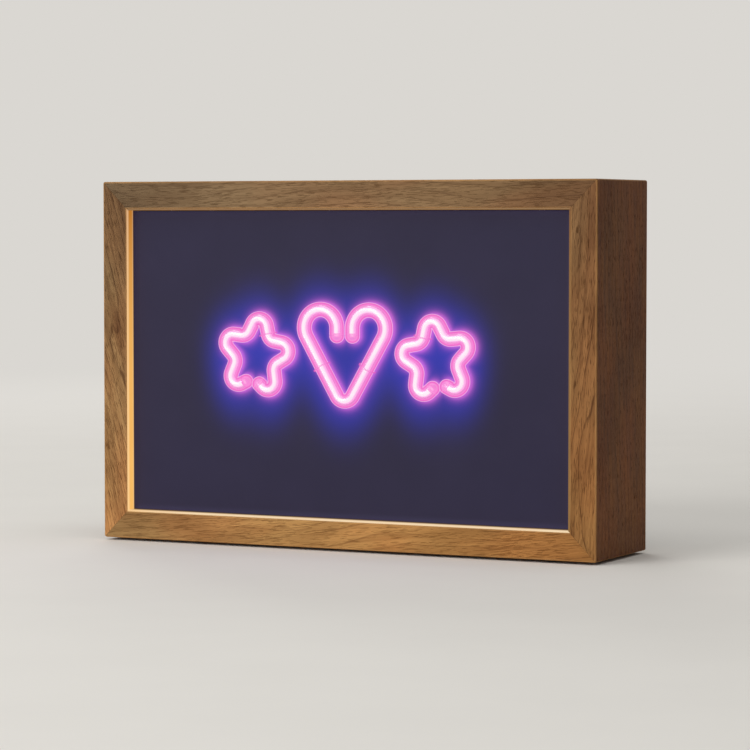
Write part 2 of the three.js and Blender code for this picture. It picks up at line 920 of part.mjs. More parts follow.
// A component's block on the front of the board, given by its middle, width, height and depth
function component(x, z, width, height, depth) {
  return slab(
    vector(x - width / 2, driverFrontY - depth, z - height / 2),
    vector(x + width / 2, driverFrontY + componentSink, z + height / 2),
  );
}

const outputBlockX = driverX - terminalBlockWidth / 2;
const outputBlockZ = driverTop - terminalBlockInset - terminalBlockHeight / 2;
const inputBlockX = driverHighX - terminalBlockInset - terminalBlockHeight / 2;
const inputBlockZ = driverBottom + spacerInset + leadPitch;

function driverBoard() {
  const board = slab(
    vector(driverLowX, driverFrontY, driverBottom),
    vector(driverHighX, driverRearY, driverTop),
  );
  const pieces = [
    board,
    component(outputBlockX, outputBlockZ, terminalBlockWidth, terminalBlockHeight,
      terminalBlockDepth),
    component(inputBlockX, inputBlockZ, terminalBlockHeight, 2 * leadPitch, terminalBlockDepth),
    component(driverX, driverZ - coilWidth / 2, coilWidth, coilWidth, coilDepth),
  ];
  for (const step of [0, 1]) {
    const x = driverX - coilWidth - capacitorRadius - step * (2 * capacitorRadius + fitGap);
    const z = driverZ - coilWidth / 2;
    pieces.push(rod(
      capacitorRadius,
      turnedSides,
      vector(x, driverFrontY + componentSink, z),
      vector(x, driverFrontY - capacitorHeight, z),
    ));
  }
  const holes = spacerPlaces.map(([x, z]) => rod(
    holeRadius(spacerPinRadius + fitGap, turnedSides),
    turnedSides,
    vector(x, driverFrontY - cutOverrun, z),
    vector(x, driverRearY + cutOverrun, z),
  ));
  return cut(join(pieces), holes);
}

add('driver_board', driverBoard(), circuitGreen());

spacerPlaces.forEach(([x, z], i) => {
  const pinEnd = spacerHeight + driverThickness + seatGap;
  const profile = [
    [0, 0],
    [spacerRadius, 0],
    [spacerRadius, spacerHeight - seatGap],
    [spacerPinRadius, spacerHeight - seatGap],
    [spacerPinRadius, pinEnd],
    [spacerPinRadius + 2 * fitGap, pinEnd],
    [spacerPinRadius, pinEnd + spacerHead],
    [0, pinEnd + spacerHead],
  ];
  const spacer = turned(profile, turnedSides, vector(x, backInnerY, z), vector(0, -1, 0));
  add(`board_spacer_${i + 1}`, spacer, nylon());
});

// Wires: each is one smooth curve through its points

function addLead(name, points) {
  const path = new THREE.CatmullRomCurve3(points, false, 'centripetal');
  add(name, swept(path, leadSteps, leadRadius, leadSides), wireWhite());
}

const driverFaceY = driverFrontY - terminalBlockDepth / 2;
const leadRun = battenDepth;
const behindPanelY = panelRearY + leadRun;
const coreEndY = tubeY + tubeRadius + fitGap;

// From a tube's first cap back through the panel, then down into the output block
motifs.forEach(({ name, run }, i) => {
  const order = [1, 0, 2][i];
  const { x, z } = run.stations[0].point;
  const endX = outputBlockX + (order - 1) * leadPitch;
  const endZ = driverTop - terminalBlockInset + fitGap;
  addLead(`${name}_lead`, [
    vector(x, coreEndY, z),
    vector(x, panelRearY, z),
    vector(x, behindPanelY, z - leadRun / 2),
    vector((x + endX) / 2, (behindPanelY + driverFaceY) / 2, (z + endZ) / 2),
    vector(endX, driverFaceY, endZ + leadRun),
    vector(endX, driverFaceY, endZ + leadRun / 2),
    vector(endX, driverFaceY, endZ),
  ]);
});

// From the LED tape through the left batten to the side of the output block
const tapeLeadX = -innerX + battenWidth;
addLead('led_tape_lead', [
  vector(-innerX + seatGap + tapeThickness + fitGap, tapeLeadY, caseMiddle),
  vector(tapeLeadX, tapeLeadY, caseMiddle),
  vector(tapeLeadX + leadRun / 2, tapeLeadY + leadRadius, caseMiddle),
  vector((tapeLeadX + driverLowX) / 2, driverFaceY, (caseMiddle + outputBlockZ) / 2),
  vector(driverLowX, driverFaceY, outputBlockZ),
  vector(outputBlockX - terminalBlockWidth / 2 - fitGap, driverFaceY, outputBlockZ),
]);

// From the jack to the switch, and from the switch to the input block
const bladeEndY = (rear) => rear - terminalLength - fitGap;
const jackBladeX = jackX - terminalSpacing / 2;
const switchBladeHighX = switchX + terminalSpacing / 2;
const switchBladeLowX = switchX - terminalSpacing / 2;
const jackEndY = bladeEndY(jackRearY);
const switchEndY = bladeEndY(switchRearY);
addLead('jack_lead', [
  vector(jackBladeX, jackEndY, jackZ),
  vector(jackBladeX, jackEndY - leadRun / 2, jackZ),
  vector((jackBladeX + switchBladeHighX) / 2, jackEndY - leadRun, jackZ),
  vector(switchBladeHighX, switchEndY - leadRun / 2, switchZ),
  vector(switchBladeHighX, switchEndY, switchZ),
]);
const inputEdgeX = inputBlockX + terminalBlockHeight / 2 + fitGap;
addLead('switch_lead', [
  vector(switchBladeLowX, switchEndY, switchZ),
  vector(switchBladeLowX, switchEndY - leadRun / 2, switchZ),
  vector((switchBladeLowX + inputEdgeX) / 2, switchEndY - leadRun / 2, switchZ),
  vector(inputEdgeX + leadRun / 2, driverFaceY, inputBlockZ),
  vector(inputEdgeX, driverFaceY, inputBlockZ),
]);

export default lamp;
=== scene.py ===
"""Neon picture lamp: the finish of an oak shadow box whose bent light tubes glow on a slate panel.

Metres, +Z up. X runs along the width of the case, and the lamp faces -Y. The origin lies on the
table below the middle of the case.
"""

import json
import math

import bmesh
import bpy
import numpy as np
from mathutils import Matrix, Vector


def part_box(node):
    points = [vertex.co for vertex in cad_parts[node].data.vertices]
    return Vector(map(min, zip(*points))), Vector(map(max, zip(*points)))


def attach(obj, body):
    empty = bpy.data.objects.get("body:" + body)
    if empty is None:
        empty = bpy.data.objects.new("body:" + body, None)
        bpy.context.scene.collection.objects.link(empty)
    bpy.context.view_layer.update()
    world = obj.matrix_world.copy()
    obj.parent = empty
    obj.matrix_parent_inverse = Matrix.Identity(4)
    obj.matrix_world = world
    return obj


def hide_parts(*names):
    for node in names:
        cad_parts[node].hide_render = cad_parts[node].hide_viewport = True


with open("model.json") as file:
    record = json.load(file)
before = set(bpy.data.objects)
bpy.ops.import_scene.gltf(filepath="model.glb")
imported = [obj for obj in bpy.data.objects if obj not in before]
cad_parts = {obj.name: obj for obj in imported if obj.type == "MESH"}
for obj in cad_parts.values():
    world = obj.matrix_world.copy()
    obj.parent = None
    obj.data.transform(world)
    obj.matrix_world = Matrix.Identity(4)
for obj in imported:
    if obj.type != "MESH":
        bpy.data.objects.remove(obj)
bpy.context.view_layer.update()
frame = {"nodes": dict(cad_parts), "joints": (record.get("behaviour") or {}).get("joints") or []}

bl_info = {
    "name": "Neon picture lamp",
    "version": (1, 0, 0),
    "blender": (4, 5, 0),
    "location": "View3D > Sidebar > Lamp",
    "description": "Builds the lamp's finished pieces around its fixed frame",
    "category": "Add Mesh",
}

MM = 0.001
RIGHT = np.array([1.0, 0.0, 0.0])
UPWARD = np.array([0.0, 0.0, 1.0])
OUTWARD = np.array([0.0, -1.0, 0.0])
REARWARD = -OUTWARD


def corners_of(node):
    """Lowest and highest corner of a node of the frame."""
    low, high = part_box(node)
    return np.array(low), np.array(high)


SIDE_LOW, SIDE_HIGH = corners_of("right_side_board")
PANEL_LOW, PANEL_HIGH = corners_of("sign_panel")
COVER_LOW, COVER_HIGH = corners_of("back_cover")
SLEEVE_LOW, SLEEVE_HIGH = corners_of("heart_tube")
CORE_LOW, CORE_HIGH = corners_of("heart_core")
CASE_LOW = corners_of("bottom_board")[0][2]
CASE_HIGH = corners_of("top_board")[1][2]

FRONT, REAR = SIDE_LOW[1], SIDE_HIGH[1]
BOARD = SIDE_HIGH[0] - SIDE_LOW[0]
INNER_X = SIDE_LOW[0]
INNER_HALF_Z = (CASE_HIGH - CASE_LOW) / 2 - BOARD
MIDDLE_Z = (CASE_LOW + CASE_HIGH) / 2
PANEL_FRONT, PANEL_BACK = PANEL_LOW[1], PANEL_HIGH[1]
COVER_BACK = COVER_HIGH[1]
SLEEVE_Y = (SLEEVE_HIGH[1] + SLEEVE_LOW[1]) / 2
SLEEVE = (SLEEVE_HIGH[1] - SLEEVE_LOW[1]) / 2
CORE = (CORE_HIGH[1] - CORE_LOW[1]) / 2
SEAT_GAP = 0.2 * MM
FIT_GAP = 0.3 * MM


def tint(red, green, blue):
    """Linear colour of a red, green and blue from 0 to 255: the screen's own curve taken off."""
    screen = np.array([red, green, blue]) / 255
    linear = np.where(screen > 0.04045, ((screen + 0.055) / 1.055) ** 2.4, screen / 12.92)
    return tuple(linear.tolist())


def length(name, description, metres):
    """A size in metres."""
    return bpy.props.FloatProperty(
        name=name, description=description, default=float(metres), unit="LENGTH", precision=5
    )


def angle(name, description, degrees):
    """An angle, given in degrees."""
    return bpy.props.FloatProperty(
        name=name, description=description, default=math.radians(degrees), subtype="ANGLE"
    )


def amount(name, description, default):
    """A number without a unit."""
    return bpy.props.FloatProperty(name=name, description=description, default=default)


def colour(name, description, *screen):
    """A colour, given from 0 to 255 as on a screen."""
    return bpy.props.FloatVectorProperty(
        name=name, description=description, default=tint(*screen), subtype="COLOR", min=0, max=1
    )


class LampCaseSettings(bpy.types.PropertyGroup):
    """Sizes and colours of the oak case, its feet and its rear cover."""

    arris: length("Arris", "Radius of the eased long edges of the boards", 0.7 * MM)
    inner_arris: length("Inner arris", "Radius of the edges that meet the reveal", 0.35 * MM)
    corner: length("Corner", "Radius of the case's outer corners", 1.0 * MM)
    mitre_gap: length("Mitre gap", "Half the hairline at a mitre", 0.05 * MM)
    lip: length("Lip", "How far the rear step reaches into the boards", COVER_HIGH[0] - INNER_X + FIT_GAP)
    oak_pale: colour("Oak, pale", "Palest wood between the pores", 184, 137, 85)
    oak_mid: colour("Oak, middle", "Middle tone of the wood", 160, 115, 68)
    oak_dark: colour("Oak, dark", "Darkest growth lines", 118, 78, 42)
    oak_pore: colour("Oak pore", "Inside of the open pores", 82, 48, 22)
    # Painted shade: the outer faces of the case are darker than its front.
    outer_shade: bpy.props.FloatVectorProperty(
        name="Outer tone", description="Outer faces against the front", default=(0.60, 0.46, 0.37)
    )
    cover_paint: colour("Cover paint", "Painted fibreboard at the back", 47, 43, 41)
    felt: colour("Felt", "Pressed felt of the feet", 44, 42, 40)


class LampPanelSettings(bpy.types.PropertyGroup):
    """The slate panel and the light that the tubes throw on it."""

    slate: colour("Slate", "Satin face of the panel", 45, 41, 65)
    fine_step: length("Fine step", "Spacing of the panel's points near the tubes", 0.9 * MM)
    coarse_step: length("Coarse step", "Spacing of the panel's points elsewhere", 3 * MM)
    fine_width: length("Fine half width", "Half width of the closely divided part", 86 * MM)
    fine_height: length("Fine half height", "Half height of the closely divided part", 36 * MM)
    halo: colour("Halo", "Wide blue light round the tubes", 26, 44, 190)
    halo_reach: length("Halo reach", "How far the blue light spreads", 16 * MM)
    halo_width: amount("Halo width", "Its spread sideways against its spread upwards", 0.72)
    halo_drop: length("Halo drop", "How far it lies below the tubes", 2.5 * MM)
    halo_level: amount("Halo level", "Sum of light at which it nears its full strength", 1.3)
    blush: colour("Blush", "Violet light close beside the tubes", 190, 86, 150)
    blush_reach: length("Blush reach", "How fast the violet light fades", 1.5 * MM)
    blush_shift: length("Blush shift", "How far the violet light leans to the right", 1.1 * MM)
    rim: colour("Rim", "Light of the strips on the edge of the panel", 27, 26, 44)
    rim_reach: length("Rim reach", "How far that light spreads over the panel", 4 * MM)


class LampTubeSettings(bpy.types.PropertyGroup):
    """The bent tubes: a heart with a star on each side."""

    sleeve_radius: length("Sleeve radius", "Outer radius of the clear sleeve", SLEEVE)
    sleeve_wall: length("Sleeve wall", "Wall of the clear sleeve", 1 * MM)
    core_radius: length("Core radius", "Radius of the bright core", CORE)
    core_reach: length("Core reach", "How far the core enters each cap", 0.6 * MM)
    spigot: length("Spigot", "How far a cap enters its sleeve", 1.4 * MM)
    socket: length("Socket", "How far a cap takes the core beyond the sleeve", 0.9 * MM)
    motif_height: length("Motif height", "Height of the heart's middle above the table", MIDDLE_Z + 5 * MM)
    lobe_radius: length("Lobe radius", "Bend of the heart's lobes", 10 * MM)
    lobe_rise: length("Lobe rise", "Middle of the lobes above the heart's middle", 15 * MM)
    notch_gap: length("Notch gap", "Air between the two ends in the notch", 1.2 * MM)
    notch_drop: length("Notch drop", "Straight ends below the lobes", 4 * MM)
    heart_drop: length("Heart drop", "Heart's middle above its sharp point", 30 * MM)
    heart_bend: length("Heart bend", "Bend at the heart's point", 5.5 * MM)
    star_reach: length("Star reach", "Middle of a star to the crown of a tip", 20.5 * MM)
    star_bend: length("Star bend", "Bend at a star's tips", 4.7 * MM)
    waist_bend: length("Waist bend", "Bend between a star's tips", 4.8 * MM)
    waist_share: amount("Waist share", "Reach of a waist as a share of the sharp tip's", 0.42)
    star_offset: length("Star offset", "Middle of a star to the middle of the heart", 55 * MM)
    star_rise: length("Star rise", "Stars above the heart's middle", -1 * MM)
    star_tilt: angle("Star tilt", "Lean of the stars, outwards", 8)
    end_setback: length("End setback", "A star's ends to its lowest waist", 5.3 * MM)
    bow_wire: length("Bow wire", "Radius of the wire bows over the tubes", 0.4 * MM)
    bow_tail: length("Bow tail", "Bow legs beyond the back of the panel", 2 * MM)
    core_glow: colour("Core glow", "Light of the core", 246, 251, 248)
    core_flank: colour("Core flank", "Light of the core's flanks", 250, 178, 232)
    sleeve_glow: colour("Sleeve glow", "Light that the sleeve carries", 255, 150, 222)
    deep_glow: colour("Deep glow", "Light towards the sleeve's sides", 244, 112, 204)
    rim_glow: colour("Rim glow", "Light along the sleeve's outline", 250, 182, 234)


class LampRevealSettings(bpy.types.PropertyGroup):
    """The glowing strips round the reveal."""

    guide_edge: length("Guide edge", "Radius of the strips' edges", 0.15 * MM)
    low_glow: colour("Low glow", "Light of the bottom strip", 250, 226, 186)
    side_glow: colour("Side glow", "Light at the foot of the side strips", 250, 190, 102)
    high_glow: colour("High glow", "Light at the head of the side strips", 188, 118, 40)
    # Also dulls the bottom strip towards the panel, a painted shadow line.
    top_glow: colour("Top glow", "Light of the top strip's front edge", 122, 90, 52)
    far_share: amount("Far share", "Light of the right strip's front edge against its face", 0.22)
    behind_share: amount("Behind share", "Light of the strips behind the panel", 0.08)


class LampFittingSettings(bpy.types.PropertyGroup):
    """Switch, jack and screws at the back."""

    soft_edge: length("Soft edge", "Radius of moulded edges", 0.35 * MM)
    recess_width: length("Recess arm", "Half width of a screw's cross recess", 0.42 * MM)
    recess_reach: length("Recess reach", "Half length of a screw's cross recess", 1.5 * MM)
    recess_depth: length("Recess depth", "Depth of a screw's cross recess", 0.9 * MM)
    moulding: colour("Moulding", "Black plastic of the housing and the jack", 26, 26, 28)
    paddle: colour("Paddle", "Polished black of the rocker", 22, 22, 24)
    mark: colour("Mark", "White of the rocker's marks", 214, 214, 210)
    zinc: colour("Zinc", "Plated screws", 188, 190, 194)
    brass: colour("Brass", "Jack pin and nut", 206, 172, 98)


class LampStageSettings(bpy.types.PropertyGroup):
    """Camera, lamps and the pale floor."""

    lens: amount("Lens", "Focal length in millimetres on a 36 mm sensor", 148.09)
    eye: bpy.props.FloatVectorProperty(
        name="Eye", description="Where the camera stands", default=(0.76698, -1.51674, 0.17891),
        unit="LENGTH", precision=5,
    )
    pitch: angle("Pitch", "How far the camera looks down", 2.8354)
    turn: angle("Turn", "How far the camera looks to the left of straight on", 26.7215)
    backdrop: colour("Backdrop", "Pale colour behind the lamp", 218, 215, 210)
    floor: colour("Floor", "Pale floor", 232, 229, 223)
    room_light: amount("Room light", "Strength of the even light from all round", 0.26)
    key_power: amount("Key power", "Watts of the large soft lamp at the front left", 37)
    top_power: amount("Top power", "Watts of the soft lamp overhead", 19)
    fill_power: amount("Fill power", "Watts of the weaker lamp behind", 15)


# Points in the plane of the panel and round the case


def rounded(outline, radii, steps=5, margin=0.3 * MM):
    """A closed outline whose corners are arcs of the given radii.

    At each corner the two tangent points lie radius / tan(half the corner's angle) along its sides,
    and the arc between them swings evenly round the centre on the bisector. A point stands just
    outside each end of an arc, so that the flats stay flat. Returns the points, and 1 for each one
    that lies on an arc or else 0.
    """
    outline = np.array(outline, float)
    way = np.linspace(0, 1, steps)[:, None]
    points, bent = [], []
    for corner, back, ahead, radius in zip(outline, np.roll(outline, 1, 0), np.roll(outline, -1, 0), radii):
        back, ahead = back - corner, ahead - corner
        room = min(np.linalg.norm(back), np.linalg.norm(ahead)) / 2
        back, ahead = back / np.linalg.norm(back), ahead / np.linalg.norm(ahead)
        half = math.acos(np.clip(back @ ahead, -1, 1)) / 2
        trim = radius / math.tan(half)
        centre = corner + (back + ahead) / np.linalg.norm(back + ahead) * radius / math.sin(half)
        first, last = corner + back * trim - centre, corner + ahead * trim - centre
        swing = math.pi - 2 * half
        arc = centre + (first * np.sin((1 - way) * swing) + last * np.sin(way * swing)) / math.sin(swing)
        stand = min(trim + margin, room)
        points += [[corner + back * stand], arc, [corner + ahead * stand]]
        bent += [[0], np.ones(steps), [0]]
    return np.concatenate(points), np.concatenate(bent)


def subdivided(points, longest):
    """A closed outline with points added on each side that is longer than a length."""
    pieces = []
    for start, end in zip(points, np.roll(points, -1, 0)):
        count = max(1, math.ceil(np.linalg.norm(end - start) / longest))
        pieces.append(start + (end - start) * np.arange(count)[:, None] / count)
    return np.concatenate(pieces)


def quarter(count):
    """Points of a quarter of the unit circle, from (1, 0) to (0, 1)."""
    turn = np.radians(np.linspace(0, 90, count))
    return np.column_stack([np.cos(turn), np.sin(turn)])


# Inner faces of the case: the way inward in X and in Z, the distance from the middle, half the length
FACES = {
    "left": (1, 0, INNER_X, INNER_HALF_Z),
    "right": (-1, 0, INNER_X, INNER_HALF_Z),
    "top": (0, -1, INNER_HALF_Z, INNER_X),
    "bottom": (0, 1, INNER_HALF_Z, INNER_X),
}


def on_face(side, inward, back, along):
    """Points given inward from an inner face of the case, back from its front and along it."""
    inward_x, inward_z, offset, _ = FACES[side]
    inward, back, along = np.broadcast_arrays(inward, back, along)
    return np.stack([
        (inward - offset) * inward_x - along * inward_z,
        FRONT + back,
        MIDDLE_Z + (inward - offset) * inward_z + along * inward_x,
    ], -1)


class Run:
    """A path of straights and round bends in a plane that faces the viewer."""

    def __init__(self, origin, tilt, start, heading, moves, step=1 * MM):
        """A straight is (length, 0) and a bend (radius, angle), positive to the left.

        Along a straight the point moves on by its length. Round a bend it stays one radius from a
        centre that stands square to the heading. Points are about a step apart, and closer
        together round the bends.
        """
        place, flat, turns = np.array(start, float), [], []
        for size, swing in moves:
            ahead = np.array([math.cos(heading), math.sin(heading)])
            if swing == 0:
                count = max(1, math.ceil(size / step))
                flat.append(place + np.arange(count)[:, None] / count * size * ahead)
                turns.append(np.full(count, heading))
                place = place + size * ahead
            else:
                side = math.copysign(size, swing)
                count = math.ceil(abs(swing) * size / step) + math.ceil(abs(swing) * 6)
                turn = heading + swing * np.arange(count + 1) / count
                centre = place + side * np.array([-ahead[1], ahead[0]])
                arc = centre - side * np.stack([-np.sin(turn), np.cos(turn)], -1)
                flat.append(arc[:-1])
                turns.append(turn[:-1])
                place, heading = arc[-1], turn[-1]
        flat = np.concatenate(flat + [place[None]])
        turns = np.append(np.concatenate(turns), heading) + tilt
        across = np.array([math.cos(tilt), 0, math.sin(tilt)])
        up = np.array([-math.sin(tilt), 0, math.cos(tilt)])
        self.points = origin + flat[:, :1] * across + flat[:, 1:] * up
        self.ahead = np.stack([np.cos(turns), 0 * turns, np.sin(turns)], -1)
        self.aside = np.stack([-np.sin(turns), 0 * turns, np.cos(turns)], -1)

    def with_ends(self, radius, reach, end_radii, trim=0):
        """Centres, radii and sideways directions of rings along the path. Both ends are carried on
        straight, with a ring of each end radius at each reach, and trim is how many of the path's
        own points are left out there."""
        count = len(self.points) - 2 * trim
        at = np.arange(trim - len(reach), trim + count + len(reach)).clip(0, len(self.points) - 1)
        beyond = np.concatenate([-reach[::-1], np.zeros(count), reach])[:, None]
        radii = np.concatenate([end_radii[::-1], np.full(count, radius), end_radii])
        return self.points[at] + self.ahead[at] * beyond, radii, self.aside[at]


def heart_run(settings):
    """Up from the notch, over one lobe, down to the point and back the same way."""
    start_x = settings.sleeve_radius + settings.notch_gap / 2
    lobe_x = start_x + settings.lobe_radius
    height = settings.lobe_rise + settings.heart_drop
    reach = math.hypot(lobe_x, height)
    slope = math.atan2(lobe_x, height) + math.asin(settings.lobe_radius / reach)
    side = math.sqrt(reach**2 - settings.lobe_radius**2) - settings.heart_bend / math.tan(slope)
    half = [(settings.notch_drop, 0), (settings.lobe_radius, -(math.pi + slope)), (side, 0)]
    moves = half + [(settings.heart_bend, 2 * slope - math.pi)] + half[::-1]
    origin = np.array([0, SLEEVE_Y, settings.motif_height])
    return Run(origin, 0, [start_x, settings.lobe_rise - settings.notch_drop], math.pi / 2, moves)


def star_run(settings, side):
    """From beside the lowest waist round all five tips. The tip angle is half the angle between the
    two straight sides that would meet there."""
    points = 5
    pitch = math.pi / points
    inner = settings.waist_share
    tip = math.atan2(inner * math.sin(pitch), 1 - inner * math.cos(pitch))
    corner = settings.star_reach + settings.star_bend * (1 / math.sin(tip) - 1)
    waist = corner * inner
    edge = math.hypot(corner - waist * math.cos(pitch), waist * math.sin(pitch))
    tip_turn = math.pi - 2 * tip
    waist_turn = tip_turn - 2 * pitch
    tip_trim = settings.star_bend / math.tan(tip)
    flank = edge - tip_trim - settings.waist_bend * math.tan(waist_turn / 2)
    end = (edge - tip_trim - settings.end_setback, 0)
    between = [(settings.star_bend, tip_turn), (flank, 0), (settings.waist_bend, -waist_turn), (flank, 0)]
    moves = [end] + (between * points)[:-3] + [end]
    heading = math.atan2(inner - math.cos(pitch), math.sin(pitch))
    start = settings.end_setback * np.array([math.cos(heading), math.sin(heading)]) - [0, waist]
    origin = np.array([side * settings.star_offset, SLEEVE_Y, settings.motif_height + settings.star_rise])
    return Run(origin, side * settings.star_tilt, start, heading, moves)


def motif_runs(settings):
    """The three paths by name."""
    return {
        "heart": heart_run(settings),
        "left_star": star_run(settings, -1),
        "right_star": star_run(settings, 1),
    }


def bow_runs(settings, name, run):
    """Wire bows over a tube, at shares of its length: straight legs and a half circle, in the plane
    square to the tube."""
    radius = settings.sleeve_radius + SEAT_GAP + settings.bow_wire
    leg = PANEL_BACK - SLEEVE_Y + settings.bow_tail
    moves = [(leg, 0), (radius, -math.pi), (leg, 0)]
    shares = {"heart": (0.36, 0.64), "left_star": (0.415,), "right_star": (0.585,)}
    spans = np.append(0, np.cumsum(np.linalg.norm(np.diff(run.points, axis=0), axis=1)))
    made = []
    for share in shares[name]:
        station = np.argmin(np.abs(spans - share * spans[-1]))
        bow = Run(np.zeros(3), 0, [-radius, -leg], math.pi / 2, moves, settings.bow_wire)
        bow.points, bow.aside = (
            flat[:, :1] * run.aside[station] + flat[:, 2:] * OUTWARD for flat in (bow.points, bow.aside)
        )
        bow.points = bow.points + run.points[station]
        bow.square = run.ahead[station]
        made.append(bow)
    return made


# Meshes


def rings(centres, radii, across, up, sides):
    """Circles of given radii round given points: each point is the centre plus the radius times
    cosine across and sine up."""
    turn = 2 * math.pi * np.arange(sides) / sides
    radii = np.broadcast_to(radii, len(centres))[:, None, None]
    across, up = (np.broadcast_to(way, (len(centres), 3))[:, None] for way in (across, up))
    return centres[:, None] + radii * (np.cos(turn)[:, None] * across + np.sin(turn)[:, None] * up)


class Shape:
    """Points, faces and point values of one mesh, gathered from grids and caps."""

    def __init__(self):
        self.points, self.faces, self.values, self.count = [], [], {}, 0

    def grid(self, points, around=False, along=False, finish=0, **values):
        """Adds rows of points and a quad between each four neighbours. around joins the last column
        to the first, and along the last row to the first. A value may be given once for all, for
        each row or for each column. Returns the points' numbers."""
        rows, columns = points.shape[:2]
        here = self.count + np.arange(rows * columns).reshape(rows, columns)
        right, below = np.roll(here, -1, 1), np.roll(here, -1, 0)
        quads = np.stack([here, right, np.roll(below, -1, 1), below], -1)
        quads = quads[: rows if along else rows - 1, : columns if around else columns - 1].reshape(-1, 4)
        self.faces += [(quad, finish) for quad in quads.tolist()]
        self.points.append(points.reshape(-1, 3))
        for key, value in values.items():
            value = np.asarray(value, float)
            value = np.broadcast_to(value, (rows, columns, *value.shape[2:]))
            self.values.setdefault(key, []).append(value.reshape(rows * columns, -1))
        self.count += rows * columns
        return here

    def bar(self, points, **values):
        """Adds rows that run round a bar, and a flat face at each end whose row isn't one point."""
        here = self.grid(points, around=True, **values)
        for ring, row in ((here[0], points[0]), (here[-1][::-1], points[-1])):
            if np.ptp(row, axis=0).any():
                self.faces.append((ring.tolist(), 0))
        return self

    def turned(self, profile, centre, axis, across, sides, **values):
        """Adds a profile of radius and height pairs turned about an axis. A zero radius closes it."""
        profile = np.array(profile, float)
        up = np.cross(axis, across)
        self.grid(rings(centre + profile[:, 1:] * axis, profile[:, 0], across, up, sides), True, **values)
        return self

    def block(self, low, high):
        """Adds a box with its corners at two points, low and high."""
        ring = np.array([[0, 0], [1, 0], [1, 1], [0, 1]])
        rows = [np.column_stack([ring, np.full(4, level)]) for level in (0, 1)]
        return self.bar(low + np.array(rows) * (high - low))

    def piece(self, name, *materials, smooth=40):
        """Makes the mesh: doubles merged at seams and poles, faces outwards, and edges sharper
        than an angle in degrees kept sharp."""
        mesh = bpy.data.meshes.new(name)
        mesh.from_pydata(np.concatenate(self.points), [], [face for face, _ in self.faces])
        mesh.polygons.foreach_set("material_index", [finish for _, finish in self.faces])
        for key, value in self.values.items():
            value = np.concatenate(value)
            kind, field = {
                1: ("FLOAT", "value"), 3: ("FLOAT_VECTOR", "vector"), 4: ("FLOAT_COLOR", "color"),
            }[value.shape[1]]
            mesh.attributes.new(key, kind, "POINT").data.foreach_set(field, value.ravel())
        made = bpy.data.objects.new(name, mesh)
        bpy.context.scene.collection.objects.link(made)
        for material in materials:
            mesh.materials.append(material)
        return tidied(made, smooth)


def tidied(made, smooth):
    """Merges an object's doubles, turns its faces outwards and smooths all but its sharp edges."""
    body = bmesh.new()
    body.from_mesh(made.data)
    bmesh.ops.remove_doubles(body, verts=body.verts, dist=1e-7)
    bmesh.ops.recalc_face_normals(body, faces=body.faces)
    body.to_mesh(made.data)
    body.free()
    made.data.shade_smooth()
    made.data.set_sharp_from_angle(angle=math.radians(smooth))
    return made


def finished(made):
    """The object with its modifiers worked into its mesh."""
    graph = bpy.context.evaluated_depsgraph_get()
    mesh = bpy.data.meshes.new_from_object(made.evaluated_get(graph))
    made.modifiers.clear()
    made.data = mesh
    return made


def softened(node, name, material, radius):
    """A copy of a node's mesh with its edges rounded to a radius."""
    made = bpy.data.objects.new(name, frame["nodes"][node].data.copy())
    bpy.context.scene.collection.objects.link(made)
    made.data.materials.clear()
    made.data.materials.append(material)
    body = bmesh.new()
    body.from_mesh(made.data)
    bmesh.ops.remove_doubles(body, verts=body.verts, dist=1e-6)
    bmesh.ops.dissolve_limit(body, angle_limit=math.radians(1), verts=body.verts, edges=body.edges)
    body.to_mesh(made.data)
    body.free()
    bevel = made.modifiers.new("Soft edges", "BEVEL")
    bevel.width = radius
    bevel.segments = 3
    bevel.limit_method = "ANGLE"
    bevel.angle_limit = math.radians(30)
    return tidied(finished(made), 35)


def carved(made, cutters):
    """Takes each cutter out of an object. The cutters are used up."""
    for i, cutter in enumerate(cutters):
        carving = made.modifiers.new(f"Cut {i}", "BOOLEAN")
        carving.operation = "DIFFERENCE"
        carving.solver = "MANIFOLD"
        carving.object = cutter
    finished(made)
    for cutter in cutters:
        bpy.data.objects.remove(cutter)


def placed(made, body, slot, *nodes):
    """Lets a piece ride on its body in place of its nodes. The slot is not used."""
    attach(made, body)
    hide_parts(*nodes)


def on_cover(node):
    """Ends in Y from the cover's rear face, radius, and middle on that face, of a round fitting."""
    low, high = corners_of(node)
    middle = (low + high) / 2
    middle[1] = COVER_BACK
    return low[1] - COVER_BACK, high[1] - COVER_BACK, (high[0] - low[0]) / 2, middle


# Materials


def paint(value):
    """A colour for an input: a socket as it is, or red, green and blue made opaque."""
    return value if isinstance(value, bpy.types.NodeSocket) else (*value, 1)


